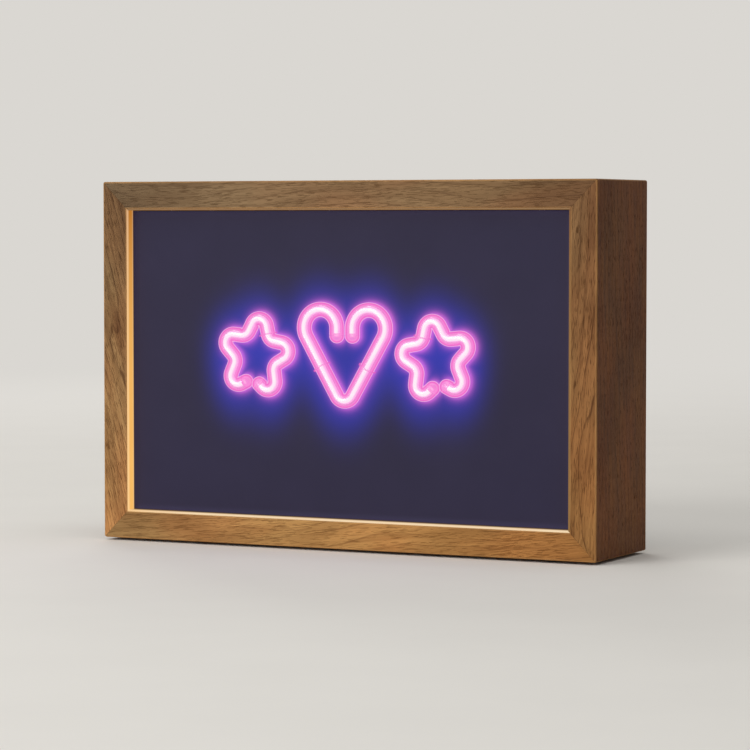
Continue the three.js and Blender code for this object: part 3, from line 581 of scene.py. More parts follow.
class Finish:
    """A material or world that grows node by node. Inputs are given as sockets or plain values."""

    def __init__(self, name, kind="Material"):
        self.made = getattr(bpy.data, kind.lower() + "s").new(name)
        self.made.use_nodes = True
        self.nodes, self.links = self.made.node_tree.nodes, self.made.node_tree.links
        self.nodes.clear()
        self.output = self.node("Output" + kind)

    def node(self, kind, inputs=None, **settings):
        """A node with its settings, and its inputs by name or number."""
        made = self.nodes.new("ShaderNode" + kind)
        for key, value in settings.items():
            setattr(made, key, value)
        for key, value in (inputs or {}).items():
            if isinstance(value, bpy.types.NodeSocket):
                self.links.new(value, made.inputs[key])
            else:
                made.inputs[key].default_value = value
        return made

    def place(self):
        """The point in the lamp's own frame."""
        return self.node("TexCoord").outputs["Object"]

    def parts(self, vector):
        """The three coordinates of a point."""
        return self.node("SeparateXYZ", {"Vector": vector}).outputs

    def value(self, name, output="Fac"):
        """A point value of the mesh."""
        return self.node("Attribute", attribute_name=name).outputs[output]

    def noise(self, vector, scale, detail=2, roughness=0.5):
        """Soft noise about 1 / scale across."""
        inputs = {"Vector": vector, "Scale": scale, "Detail": detail, "Roughness": roughness}
        return self.node("TexNoise", inputs).outputs["Fac"]

    def math(self, operation, *values, clamp=False):
        """A function of up to three numbers."""
        return self.node("Math", dict(enumerate(values)), operation=operation, use_clamp=clamp).outputs[0]

    def total(self, start, *terms):
        """A value plus further values, each times its weight."""
        for value, weight in terms:
            start = self.math("MULTIPLY_ADD", value, weight, start)
        return start

    def product(self, first, second):
        """One value times another."""
        return self.math("MULTIPLY", first, second)

    def apart(self, first, second):
        """How far two values lie apart."""
        return self.math("ABSOLUTE", self.math("SUBTRACT", first, second))

    def opposite(self, value, clamp=False):
        """1 less a value."""
        return self.math("SUBTRACT", 1.0, value, clamp=clamp)

    def ranged(self, value, low, high, to_low=0.0, to_high=1.0):
        """A value carried from one range to another along a smooth step."""
        inputs = {"Value": value, "From Min": low, "From Max": high, "To Min": to_low, "To Max": to_high}
        return self.node("MapRange", inputs, interpolation_type="SMOOTHSTEP").outputs[0]

    def mixed(self, factor, first, second, blend="MIX"):
        """Two colours mixed."""
        inputs = {0: factor, 6: paint(first), 7: paint(second)}
        return self.node("Mix", inputs, data_type="RGBA", blend_type=blend).outputs[2]

    def bump(self, height, distance):
        """A normal that leans with the slope of a height times a distance."""
        return self.node("Bump", {"Height": height, "Distance": distance}).outputs[0]

    def seen(self):
        """1 for what the eye sees, straight on, in a reflection or through glass, or else 0."""
        ray = self.node("LightPath").outputs
        direct = self.math("MAXIMUM", ray["Is Camera Ray"], ray["Is Glossy Ray"])
        return self.math("MAXIMUM", direct, ray["Is Transmission Ray"])

    def blended(self, factor, first, second):
        """Two shaders mixed."""
        return self.node("MixShader", {0: factor, 1: first, 2: second}).outputs[0]

    def surface(self, **inputs):
        """Ends in the all-round shader. Names are its inputs, with _ for a space."""
        inputs = {
            key.replace("_", " "): paint(value) if key.endswith("Color") else value
            for key, value in inputs.items()
        }
        return self.ended(self.node("BsdfPrincipled", inputs).outputs[0])

    def ended(self, shader):
        """Ends in a shader, and returns the material or world."""
        self.links.new(shader, self.output.inputs["Surface"])
        return self.made


def wood(name, tones, carried=False, ring=5.2 * MM, pores=1.0, roughness=0.5):
    """Wood whose grain runs along the first coordinate, in a pale, a middle, a dark and a pore tone.

    Growth lines are a saw-tooth of the distance across the grain, bent by slow and by quicker
    noise, with a thin dark line where it falls. Pores are noise stretched along the grain,
    thickest where a growth line begins. Both dent the surface. Wood whose coordinates are carried
    by the mesh also has a tone and a strength of figure for each board. That tone is partly the
    board's own colour and partly painted light and painted shade. A further value makes the
    arrises paler, partly wear and partly a painted highlight.
    """
    finish = Finish(name)
    pale, mid, dark, pore = (np.array(tone) for tone in tones)
    vector = finish.value("grain", "Vector") if carried else finish.place()

    def drawn_out(scale, shift=(0, 0, 0), detail=1, rough=0.5):
        """Noise stretched along the grain and across it."""
        mapping = finish.node("Mapping", {"Vector": vector, "Scale": scale, "Location": shift})
        return finish.noise(mapping.outputs[0], 1, detail, rough)

    slow = drawn_out((8, 42, 24), rough=0.4)
    sway = drawn_out((44, 150, 150), (3, 1, 2))
    fibre = drawn_out((24, 1300, 1300), (0, 0, 0), 3, 0.6)
    streak = drawn_out((10, 300, 300), (5, 0, 7), 3, 0.6)
    cloud = drawn_out((24, 60, 60), (1, 8, 4), 2)
    hue = drawn_out((16, 44, 44), (7, 3, 9))
    dashes = drawn_out((150, 2700, 2700), (0, 2, 0))
    flecks = drawn_out((60, 700, 700), (4, 4, 1), 2)
    bands = drawn_out((52, 15, 15), (6, 1, 3))

    _, across, deep = finish.parts(vector)
    bent = finish.total(across, (deep, 1.1), (slow, 30 * MM), (sway, 2.6 * MM))
    phase = finish.math("FRACT", finish.math("DIVIDE", bent, ring))
    early = finish.ranged(phase, 0.0, 0.6, 1.0, 0.0)
    line = finish.product(finish.ranged(phase, 0.87, 0.95), finish.ranged(phase, 0.97, 1.0, 1.0, 0.0))
    broken_line = finish.product(line, finish.ranged(flecks, 0.3, 0.6, 0.25, 0.85))
    crowd = finish.total(dashes, (cloud, 0.05), (bands, 0.12), (early, 0.05 * pores))
    open_pore = finish.ranged(crowd, 0.69, 0.745)

    tone = finish.mixed(finish.ranged(streak, 0.32, 0.66), mid, pale)
    for value, low, high, most in (
        (cloud, 0.38, 0.72, 0.55), (phase, 0.45, 0.95, 0.22),
        (fibre, 0.3, 0.75, 0.3), (flecks, 0.56, 0.72, 0.45),
    ):
        tone = finish.mixed(finish.ranged(value, low, high, 0.0, most), tone, dark)
    tone = finish.mixed(broken_line, tone, (dark + pore) / 2)
    tone = finish.mixed(finish.product(open_pore, 0.72 * pores), tone, pore)
    if carried:
        tone = finish.mixed(finish.value("figure"), 0.72 * mid + 0.28 * dark, tone)
    olive = finish.mixed(finish.ranged(hue, 0.35, 0.65), (1.04, 0.97, 0.93), (0.97, 1.02, 1.02))
    tone = finish.mixed(1.0, tone, olive, "MULTIPLY")
    if carried:
        # The board's tone: partly its own colour, partly painted light, with painted shade on the outer
        # faces.
        tone = finish.mixed(1.0, tone, finish.value("tone", "Vector"), "MULTIPLY")
        # Paler arrises: partly wear, partly a painted highlight.
        worn_and_highlit = finish.product(finish.value("wear"), finish.ranged(streak, 0.25, 0.7, 0.3, 0.7))
        tone = finish.mixed(worn_and_highlit, tone, pale)
    dents = finish.total(0.0, (fibre, 0.35), (open_pore, -0.8))
    rough = finish.total(finish.ranged(streak, 0.2, 0.8, roughness, roughness + 0.12), (open_pore, 0.25))
    return finish.surface(
        Base_Color=tone, Roughness=rough, Normal=finish.bump(dents, 0.09 * MM), Specular_IOR_Level=0.1,
    )


def speckled(name, tone, roughness, scale, depth, contrast=0.12, **inputs):
    """A plain colour with a fine grain of lighter and darker points that also dent it."""
    finish = Finish(name)
    place, tone = finish.place(), np.array(tone)
    grain, cloud = finish.noise(place, scale, 3, 0.6), finish.noise(place, scale / 14)
    shade = finish.ranged(finish.total(0.0, (cloud, 0.4), (grain, 0.6)), 0.35, 0.65)
    return finish.surface(
        Base_Color=finish.mixed(shade, tone * (1 - contrast), np.minimum(tone * (1 + contrast), 1)),
        Roughness=finish.ranged(cloud, 0.3, 0.7, roughness * 0.88, min(1.0, roughness * 1.12)),
        Normal=finish.bump(grain, depth), **inputs,
    )


def slate_finish(settings):
    """Satin slate that carries the tubes' light: the wide halo and the close blush are point values
    of the panel. The strips' light falls with the distance from the panel's nearest edge."""
    finish = Finish("slate_panel")
    place, slate, dark = finish.place(), np.array(settings.slate), (0, 0, 0)
    grain, cloud = finish.noise(place, 2600), finish.noise(place, 28)
    x, _, z = finish.parts(place)
    from_side = finish.math("SUBTRACT", PANEL_HIGH[0], finish.math("ABSOLUTE", x))
    from_end = finish.math("SUBTRACT", PANEL_HIGH[2] - MIDDLE_Z, finish.apart(z, MIDDLE_Z))
    rim = finish.ranged(finish.math("MINIMUM", from_side, from_end), 0, settings.rim_reach, 1.0, 0.0)
    light = finish.mixed(finish.value("glow"), dark, settings.halo)
    light = finish.mixed(1.0, light, finish.mixed(finish.value("blush"), dark, settings.blush), "ADD")
    light = finish.mixed(1.0, light, finish.mixed(rim, dark, settings.rim), "ADD")
    return finish.surface(
        Base_Color=finish.mixed(finish.ranged(cloud, 0.3, 0.7), slate * 0.96, slate * 1.04),
        Roughness=finish.ranged(grain, 0.3, 0.7, 0.5, 0.6), Normal=finish.bump(grain, 0.012 * MM),
        Specular_IOR_Level=0.12, Emission_Color=light, Emission_Strength=1.0,
    )


def lit_plastic(name, settings, thin, thick, glossy=0.5, tube=False):
    """Clear plastic lit from inside: tinted light in a see-through wall, denser where the wall is
    seen edge on, with a paler line along the outline, under a thin gloss. The wire bows hold no
    light, so on them this glow is painted light of the tubes. On a tube the slope of the view
    along the tube is taken out: the cosine to the wall is divided by the sine to the tube's own
    direction."""
    finish = Finish(name)
    facing = finish.node("LayerWeight", {"Blend": 0.5}).outputs["Facing"]
    if tube:
        direction = finish.node("LayerWeight", {"Blend": 0.5, "Normal": finish.value("ahead", "Vector")})
        slope = finish.opposite(direction.outputs["Facing"])
        sine = finish.math("SQRT", finish.opposite(finish.math("POWER", slope, 2.0)))
        cosine = finish.math("DIVIDE", finish.opposite(facing), finish.math("MAXIMUM", sine, 0.05))
        facing = finish.opposite(cosine, clamp=True)
    ripple = finish.noise(finish.place(), 180)
    body = finish.mixed(finish.ranged(facing, 0.14, 0.42), settings.sleeve_glow, settings.deep_glow)
    outline = finish.product(finish.ranged(facing, 0.5, 0.68), finish.value("outer"))
    tone = finish.mixed(outline, body, settings.rim_glow)
    light = finish.node("Emission", {"Color": tone}).outputs[0]
    clear = finish.node("BsdfTransparent", {"Color": (1, 1, 1, 1)}).outputs[0]
    density = finish.total(finish.ranged(facing, 0.03, 0.3, thin, thick), (ripple, 0.05))
    gloss = finish.node("BsdfGlossy", {"Color": (1, 1, 1, 1), "Roughness": 0.08}).outputs[0]
    edge = finish.product(finish.node("Fresnel", {"IOR": 1.45}).outputs[0], glossy)
    return finish.ended(finish.blended(edge, finish.blended(density, clear, light), gloss))


def core_finish(settings):
    """The bright core, a little uneven along its length and pinker on its flanks, where a point
    value of the mesh rises."""
    finish = Finish("light_core")
    core = np.array(settings.core_glow)
    ripple = finish.ranged(finish.noise(finish.place(), 90, 1), 0.3, 0.7)
    tone = finish.mixed(ripple, core, core * [1.0, 0.93, 1.0])
    tone = finish.mixed(finish.ranged(finish.value("flank"), 0.45, 0.95), tone, settings.core_flank)
    return finish.surface(
        Base_Color=(0.05, 0.045, 0.05), Roughness=0.4, Emission_Color=tone, Emission_Strength=1.0,
    )


def guide_finish():
    """Opal strip whose light is a point value, laid over a milky base."""
    finish = Finish("opal_guide")
    ripple = finish.noise(finish.place(), 60)
    glow = finish.mixed(
        finish.ranged(ripple, 0.3, 0.7, 0.0, 0.08), finish.value("shine", "Color"), (0.55, 0.22, 0.04)
    )
    return finish.surface(
        Base_Color=(0.06, 0.03, 0.012), Roughness=0.35, Emission_Color=glow, Emission_Strength=0.97,
        Normal=finish.bump(ripple, 0.02 * MM), Specular_IOR_Level=0.2,
    )


def paddle_finish(settings, pivot):
    """Polished black with a bar above the pivot and a ring below it, drawn as distances in the
    plane of the switch, and only on the side that looks out of the housing."""
    finish = Finish("rocker_plastic")
    place = finish.place()
    x, y, z = finish.parts(place)
    radius, rise, bar_half, ring_half, hidden = (value * MM for value in (1.3, 4.3, 0.25, 0.22, 1.2))
    across = finish.apart(x, pivot[0])
    above, below = finish.apart(z, pivot[2] + rise), finish.apart(z, pivot[2] - rise)
    squares = finish.math("ADD", finish.product(across, across), finish.product(below, below))
    in_ring = finish.math("LESS_THAN", finish.apart(finish.math("SQRT", squares), radius), ring_half)
    in_bar = finish.math("LESS_THAN", across, bar_half)
    in_bar = finish.product(in_bar, finish.math("LESS_THAN", above, radius))
    outside = finish.math("GREATER_THAN", y, pivot[1] + hidden)
    mark = finish.product(finish.math("MAXIMUM", in_bar, in_ring), outside)
    grain = finish.noise(place, 900)
    return finish.surface(
        Base_Color=finish.mixed(mark, settings.paddle, settings.mark),
        Roughness=finish.ranged(grain, 0.3, 0.7, 0.2, 0.3), Normal=finish.bump(grain, 0.01 * MM),
    )


# Operators, in the order in which the lamp is built


class LampOperator:
    """What the lamp's operators share."""

    bl_options = {"REGISTER"}

    def execute(self, context):
        self.build(context.scene)
        return {"FINISHED"}


class LAMP_OT_camera(LampOperator, bpy.types.Operator):
    """Sets up the camera at the viewing angle"""

    bl_idname = "lamp.camera"
    bl_label = "Camera"

    def build(self, scene):
        settings = scene.lamp_stage
        data = bpy.data.cameras.new("camera")
        data.sensor_width = 36
        data.lens = settings.lens
        data.clip_start = 0.05
        data.clip_end = 60
        camera = bpy.data.objects.new("camera", data)
        camera.location = settings.eye
        camera.rotation_euler = (math.pi / 2 - settings.pitch, 0, settings.turn)
        scene.collection.objects.link(camera)
        scene.camera = camera


class LAMP_OT_boards(LampOperator, bpy.types.Operator):
    """Builds the four mitred oak boards"""

    bl_idname = "lamp.boards"
    bl_label = "Oak boards"

    def build(self, scene):
        settings = scene.lamp_case
        depth, recess = REAR - FRONT, COVER_LOW[1] - SEAT_GAP - FRONT
        lip, arris, inner, fine = -settings.lip, settings.arris, settings.inner_arris, 0.2 * MM
        outline = [(-BOARD, 0), (0, 0), (0, recess), (lip, recess), (lip, depth), (-BOARD, depth)]
        section = rounded(outline, [arris, inner, inner, fine, inner, arris])
        oak = wood("oak", [settings.oak_pale, settings.oak_mid, settings.oak_dark, settings.oak_pore], True)
        # Side, node, slant of the grain, tone, slope and droop of painted light, and strength of figure.
        # The tones are partly each board's own and partly painted light, lightest on the bottom board.
        planks = (
            ("left", "left_side_board", 15, (0.81, 0.85, 0.95), (-0.53, -0.47, -0.38), 0.0, 1.0),
            ("right", "right_side_board", -5, (0.72, 0.68, 0.68), (0.18, 0.14, 0.01), 0.0, 1.0),
            ("top", "top_board", 2, (0.76, 0.88, 1.21), (0.0, -0.06, -0.13), 0.35, 0.62),
            ("bottom", "bottom_board", 6, (1.43, 1.44, 1.33), (-0.03, 0.04, 0.16), 0.35, 0.68),
        )
        for number, (side, node, *look) in enumerate(planks):
            shape = self.board(side, section, number, look, settings)
            placed(shape.piece(f"oak_{side}", oak), "case", "oak", node)

    def board(self, side, section, number, look, settings):
        """The section carried from mitre to mitre. Near an end its outer face draws in by
        corner * (1 - cos a) where the section stands corner * (cos a - sin a) from the mitre,
        which rounds the case's corner as an arc of that radius. Each board's look is the slant of
        its grain in degrees, a tone, a slope and a droop of painted light, and a strength of figure.
        The tone is partly the board's own and partly painted light, lightest on the bottom board.
        Along the board the tone is multiplied by the painted light exp(slope * way - droop * way^2),
        where way goes from -1 to 1. This makes the side boards lighter towards the bottom and the
        rails lighter towards the middle, and less so on the outer face. The outer faces also carry
        a painted shade."""
        slant, tone, painted_light_slope, painted_light_droop, figure = look
        inward, back = section[0].T
        outer_light_cut, outer_width, draw_width = 0.7, 0.5 * MM, 3 * MM
        outer = np.clip((-inward - BOARD + outer_width) / outer_width, 0, 1)[:, None]
        taper = np.clip((-inward - BOARD + draw_width) / draw_width, 0, 1)
        eased = section[1] * ((inward < -BOARD / 2) | (back < MM))
        turn, between = np.radians([45, 33, 22, 11, 0]), np.linspace(-0.85, 0.85, 11)
        ends = settings.corner * np.array([1 - np.cos(turn), np.cos(turn) - np.sin(turn)])
        drawn, stand = np.hstack([ends, np.zeros((2, len(between))), ends[:, ::-1]])[..., None]
        end = np.concatenate([np.full(len(turn), -1), between, np.full(len(turn), 1)])[:, None]
        inward = inward + drawn * taper
        half = FACES[side][3]
        along = end * (half - inward - settings.mitre_gap - stand)
        cosine, sine = math.cos(math.radians(slant)), math.sin(math.radians(slant))
        grain = np.stack(np.broadcast_arrays(
            along * cosine - inward * sine, along * sine + inward * cosine, back
        ), -1) + np.array([0.31, 0.043, 0.027]) * number
        way = (along / half)[..., None]
        # Painted shade: the outer faces darker than the front.
        tones = np.array(tone) * (1 + (np.array(settings.outer_shade) - 1) * outer)
        # Painted light along the board: lighter towards the bottom of the side boards and towards the
        # middle of the rails, less so on the outer face.
        tones = tones * np.exp((np.array(painted_light_slope) * way - painted_light_droop * way**2) * (1 - outer_light_cut * outer))
        # Paler arrises and case corners: partly wear, partly a painted highlight.
        wear = np.maximum(eased, (drawn > settings.corner / 8) & (taper > 0.75))
        points = on_face(side, inward, back, along)
        return Shape().bar(points, grain=grain, wear=wear, tone=tones, figure=figure)


class LAMP_OT_feet(LampOperator, bpy.types.Operator):
    """Builds the four felt feet"""

    bl_idname = "lamp.feet"
    bl_label = "Felt feet"

    def build(self, scene):
        felt = speckled("felt", scene.lamp_case.felt, 0.95, 1400, 0.12 * MM, 0.3, Sheen_Weight=0.3)
        edge = 0.35 * MM
        for place in ("front_left", "front_right", "rear_left", "rear_right"):
            node = f"foot_{place}"
            low, high = corners_of(node)
            radius, height = (high[0] - low[0]) / 2, high[2] - low[2]
            outline = [(0, 0), (radius, 0), (radius, height), (0, height)]
            profile, _ = rounded(outline, [edge / 4, edge, edge, edge / 4])
            profile = np.concatenate([[[0, 0]], profile[profile[:, 0] > edge], [[0, height]]])
            centre = np.append((low + high)[:2] / 2, low[2])
            shape = Shape().turned(profile, centre, UPWARD, RIGHT, 48)
            placed(shape.piece(f"felt_{node}", felt), "case", "felt", node)


class LAMP_OT_light_guides(LampOperator, bpy.types.Operator):
    """Builds the glowing strips round the reveal"""

    bl_idname = "lamp.light_guides"
    bl_label = "Light guides"

    def build(self, scene):
        settings = scene.lamp_reveal
        low, high = corners_of("light_guide_left")
        wall, start, end = high[0] - low[0], low[1] - FRONT, high[1] - FRONT
        edge = settings.guide_edge
        outline, _ = rounded([(0, start), (wall, start), (wall, end), (0, end)], [edge] * 4, 3, edge)
        inward, back = subdivided(outline, 0.7 * MM).T
        opal = guide_finish()
        for side in FACES:
            along = np.linspace(-1, 1, 61)[:, None] * (FACES[side][3] - inward)
            points = on_face(side, inward, back, along)
            shape = Shape().bar(points, shine=self.shine(side, points, settings))
            placed(shape.piece(f"guide_{side}", opal), "case", "opal_guide", f"light_guide_{side}")

    def shine(self, side, points, settings):
        """Light of each point: a blend up the height of the case, with painted highlights as pale lines
        along the left strip's front edge and just before the panel, and warmer towards the left end
        of the bottom strip. Towards the panel the bottom strip takes on the top strip's dull light, a
        painted shadow line. The front edges of the right and top strips are duller than their faces,
        and what lies behind the panel is nearly dark."""
        low, mid = np.array(settings.low_glow), np.array(settings.side_glow)
        high, top = np.array(settings.high_glow), np.array(settings.top_glow)
        rise = np.clip((points[..., 2:] - MIDDLE_Z) / (2 * INNER_HALF_Z) + 0.5, 0, 1)
        back = (points[..., 1:2] - FRONT) / (PANEL_FRONT - FRONT)
        past_edge = np.clip((back - 0.09) / 0.1, 0, 1)
        if side == "bottom":
            warm = np.clip(1 - (points[..., :1] + INNER_X) / (50 * MM), 0, 1) ** 1.5
            glow = low + (mid - low) * 0.55 * warm
            # Painted shadow line: the bottom strip dulls towards the panel.
            glow = glow + (top - glow) * np.clip(back, 0, 1) ** 0.7
        elif side == "top":
            glow = top + (0.8 * high - top) * past_edge
        else:
            glow = mid + (high - mid) * rise**2.6
            if side == "right":
                glow = glow * (settings.far_share + (1 - settings.far_share) * past_edge)
            else:
                # Painted highlights: pale lines along the front edge and just before the panel.
                pale = np.exp(-(((back - 0.1) / 0.09) ** 2)) + 0.7 * np.exp(-(((back - 0.95) / 0.06) ** 2))
                glow = glow + (low - glow) * 0.45 * pale
        glow = glow * (1 + (settings.behind_share - 1) * np.clip((back - 1) / 0.1, 0, 1))
        return np.concatenate([glow, np.ones_like(glow[..., :1])], -1)


class LAMP_OT_sign_panel(LampOperator, bpy.types.Operator):
    """Builds the slate panel with its grooves and the light on it"""

    bl_idname = "lamp.sign_panel"
    bl_label = "Slate panel"

    def build(self, scene):
        settings, tubes = scene.lamp_panel, scene.lamp_tubes
        runs = motif_runs(tubes)
        panel = self.plate(settings, tubes)
        carved(panel, self.cutters(runs, tubes))
        self.light(panel.data, runs, settings, tubes)
        placed(tidied(panel, 30), "case", "slate_panel", "sign_panel")

    def steps(self, settings, low, high, middle, half):
        """Places from low to high, close together up to a half width from a middle."""
        fine, coarse, parts = settings.fine_step, settings.coarse_step, []
        stops = (low, middle - half, middle + half, high)
        for start, end, step in zip(stops, stops[1:], (coarse, fine, coarse)):
            count = max(1, math.ceil((end - start) / step))
            parts.append(start + (end - start) * np.arange(count) / count)
        return np.append(np.concatenate(parts), high)

    def plate(self, settings, tubes):
        """A closed plate. Its front is a grid over X and Z, and its back one flat face."""
        x = self.steps(settings, PANEL_LOW[0], PANEL_HIGH[0], 0, settings.fine_width)
        z = self.steps(settings, PANEL_LOW[2], PANEL_HIGH[2], tubes.motif_height, settings.fine_height)
        grid_x, grid_z = np.meshgrid(x, z)
        front = np.stack([grid_x, np.full_like(grid_x, PANEL_FRONT), grid_z], -1)
        shape = Shape()
        shape.grid(front)
        rim = np.concatenate([front[0, :-1], front[:-1, -1], front[-1, :0:-1], front[:0:-1, 0]])
        here = shape.grid(np.stack([rim, rim + REARWARD * (PANEL_BACK - PANEL_FRONT)]), around=True)
        shape.faces.append((here[1].tolist(), 0))
        return shape.piece("slate_sign_panel", slate_finish(settings))

    def cutters(self, runs, tubes):
        """Ball-ended grooves, each in two halves that overlap, and the holes for leads and bows."""
        groove, past = tubes.sleeve_radius + FIT_GAP, 1 * MM
        swing = np.radians(np.linspace(0, 84, 9))[1:]
        ball = np.append(groove * np.cos(swing), 0)
        reach = np.append(groove * np.sin(swing), groove) + SEAT_GAP
        made = []

        def hole(name, point, start, radius, sides):
            """A round hole through the panel at a point's X and Z, from a place in Y."""
            centres = point * [1, 0, 1] + np.array([[start], [PANEL_BACK + past]]) * REARWARD
            made.append(Shape().bar(rings(centres, radius, RIGHT, UPWARD, sides)).piece(name))

        bow_hole = tubes.bow_wire + FIT_GAP
        for name, run in runs.items():
            centres, radii, asides = run.with_ends(groove, reach, ball)
            middle = len(centres) // 2
            for number, part in enumerate((slice(0, middle + 1), slice(middle - 2, None))):
                half = Shape().bar(rings(centres[part], radii[part], asides[part], OUTWARD, 40))
                made.append(half.piece(f"{name}_groove_{number}"))
            hole(f"{name}_lead_hole", run.points[0], PANEL_FRONT, 1.2 * MM, 24)
            for number, bow in enumerate(bow_runs(tubes, name, run)):
                for end in (0, -1):
                    title = f"{name}_bow_hole_{number}_{-end}"
                    hole(title, bow.points[end], PANEL_FRONT - past, bow_hole, 16)
        return made

    def light(self, mesh, runs, settings, tubes):
        """Two values for each point. The halo is 1 - exp(-sum / level), where the sum over the paths
        is of exp(-(distance / reach)^2), so that it levels off inside a loop. Its distance counts
        more sideways, and from a little below the path, and the sum is 1 at a set distance beside
        a long straight. The blush is exp(-gap / reach) of the gap to the nearest sleeve. Behind the
        grooves both are zero."""
        points = np.zeros(len(mesh.vertices) * 3, np.float32)
        mesh.vertices.foreach_get("co", points)
        points = points.reshape(-1, 3).astype(float)
        total, nearest = np.zeros(len(points)), np.full(len(points), 1.0)
        reach, beside = settings.halo_reach, 10 * MM
        plain = math.sqrt(math.pi) * reach * math.exp(-((beside / reach) ** 2))
        spread = np.array([settings.halo_width, 1, 1])
        for run in runs.values():
            weight = np.linalg.norm(np.gradient(run.points, axis=0), axis=1)
            for part in np.array_split(np.arange(len(points)), 8):
                offset = points[part, None] - run.points
                gap = np.linalg.norm((offset + UPWARD * settings.halo_drop) / spread, axis=2)
                total[part] += np.exp(-((gap / reach) ** 2)) @ weight / plain
                gap = np.linalg.norm(offset - RIGHT * settings.blush_shift, axis=2)
                nearest[part] = np.minimum(nearest[part], gap.min(1))
        before = points[:, 1] < SLEEVE_Y + tubes.sleeve_radius
        glow = before * (1 - np.exp(-total / settings.halo_level))
        blush = before * np.exp(-np.maximum(nearest - tubes.sleeve_radius, 0) / settings.blush_reach)
        for name, value in (("glow", glow), ("blush", blush)):
            mesh.attributes.new(name, "FLOAT", "POINT").data.foreach_set("value", value)


class LAMP_OT_sleeves(LampOperator, bpy.types.Operator):
    """Builds the clear sleeves"""

    bl_idname = "lamp.sleeves"
    bl_label = "Clear sleeves"

    def build(self, scene):
        settings = scene.lamp_tubes
        clear = lit_plastic("clear_sleeve", settings, 0.1, 0.82, tube=True)
        outer, inner = settings.sleeve_radius, settings.sleeve_radius - settings.sleeve_wall
        for name, run in motif_runs(settings).items():
            there = np.arange(len(run.points))
            order, radii = np.append(there, there[::-1]), np.repeat([outer, inner], len(there))
            points = rings(run.points[order], radii, run.aside[order], OUTWARD, 48)
            shape = Shape()
            shape.grid(points, True, True, outer=(radii == outer)[:, None], ahead=run.ahead[order][:, None])
            placed(shape.piece(f"sleeve_{name}", clear), "case", "clear_sleeve", f"{name}_tube")


class LAMP_OT_cores(LampOperator, bpy.types.Operator):
    """Builds the bright cores"""

    bl_idname = "lamp.cores"
    bl_label = "Light cores"

    def build(self, scene):
        settings = scene.lamp_tubes
        bright = core_finish(settings)
        radius, sides = settings.core_radius, 24
        flank = np.abs(np.cos(2 * math.pi * np.arange(sides) / sides))
        reach = settings.core_reach - radius * np.array([0.3, 0.15, 0])
        for name, run in motif_runs(settings).items():
            centres, radii, asides = run.with_ends(radius, reach, radius * np.array([1, 0.82, 0]), trim=1)
            shape = Shape().bar(rings(centres, radii, asides, OUTWARD, sides), flank=flank)
            placed(shape.piece(f"core_{name}", bright), "case", "light_core", f"{name}_core")


class LAMP_OT_caps(LampOperator, bpy.types.Operator):
    """Builds the domed caps on the ends of the sleeves"""

    bl_idname = "lamp.caps"
    bl_label = "End caps"

    def build(self, scene):
        settings = scene.lamp_tubes
        clear = lit_plastic("clear_cap", settings, 0.5, 0.85, 0.35)
        radius, depth, stop = settings.sleeve_radius, -settings.spigot, settings.socket
        spigot = radius - settings.sleeve_wall - FIT_GAP
        bore = settings.core_radius + SEAT_GAP
        inside = [(0, stop), (bore, stop), (bore, depth), (spigot, depth), (spigot, 0)]
        profile = np.concatenate([inside, radius * quarter(13)])
        on_dome = np.arange(len(profile))[:, None] >= len(inside)
        for name, run in motif_runs(settings).items():
            for letter, end, outward in (("a", 0, -run.ahead[0]), ("b", -1, run.ahead[-1])):
                centre = run.points[end] + outward * SEAT_GAP
                shape = Shape().turned(profile, centre, outward, OUTWARD, 48, outer=on_dome)
                piece = shape.piece(f"cap_{name}_{letter}", clear)
                placed(piece, "case", "clear_cap", f"{name}_cap_{letter}")


class LAMP_OT_bows(LampOperator, bpy.types.Operator):
    """Builds the wire bows that hold the tubes"""

    bl_idname = "lamp.bows"
    bl_label = "Wire bows"

    def build(self, scene):
        settings = scene.lamp_tubes
        # Painted light: the nylon bows glow with the tubes' light.
        nylon = lit_plastic("nylon", settings, 0.3, 0.5)
        for name, run in motif_runs(settings).items():
            for number, bow in enumerate(bow_runs(settings, name, run), 1):
                shape = Shape().bar(rings(bow.points, settings.bow_wire, bow.aside, bow.square, 12))
                placed(shape.piece(f"bow_{name}_{number}", nylon), "case", "nylon", f"{name}_tie_{number}")


class LAMP_OT_rear_cover(LampOperator, bpy.types.Operator):
    """Builds the painted rear cover with its vents"""

    bl_idname = "lamp.rear_cover"
    bl_label = "Rear cover"

    def build(self, scene):
        paint_coat = speckled("cover_board", scene.lamp_case.cover_paint, 0.62, 520, 0.12 * MM, 0.32)
        cover = softened("back_cover", "rear_cover", paint_coat, 0.25 * MM)
        placed(cover, "case", "cover_board", "back_cover")


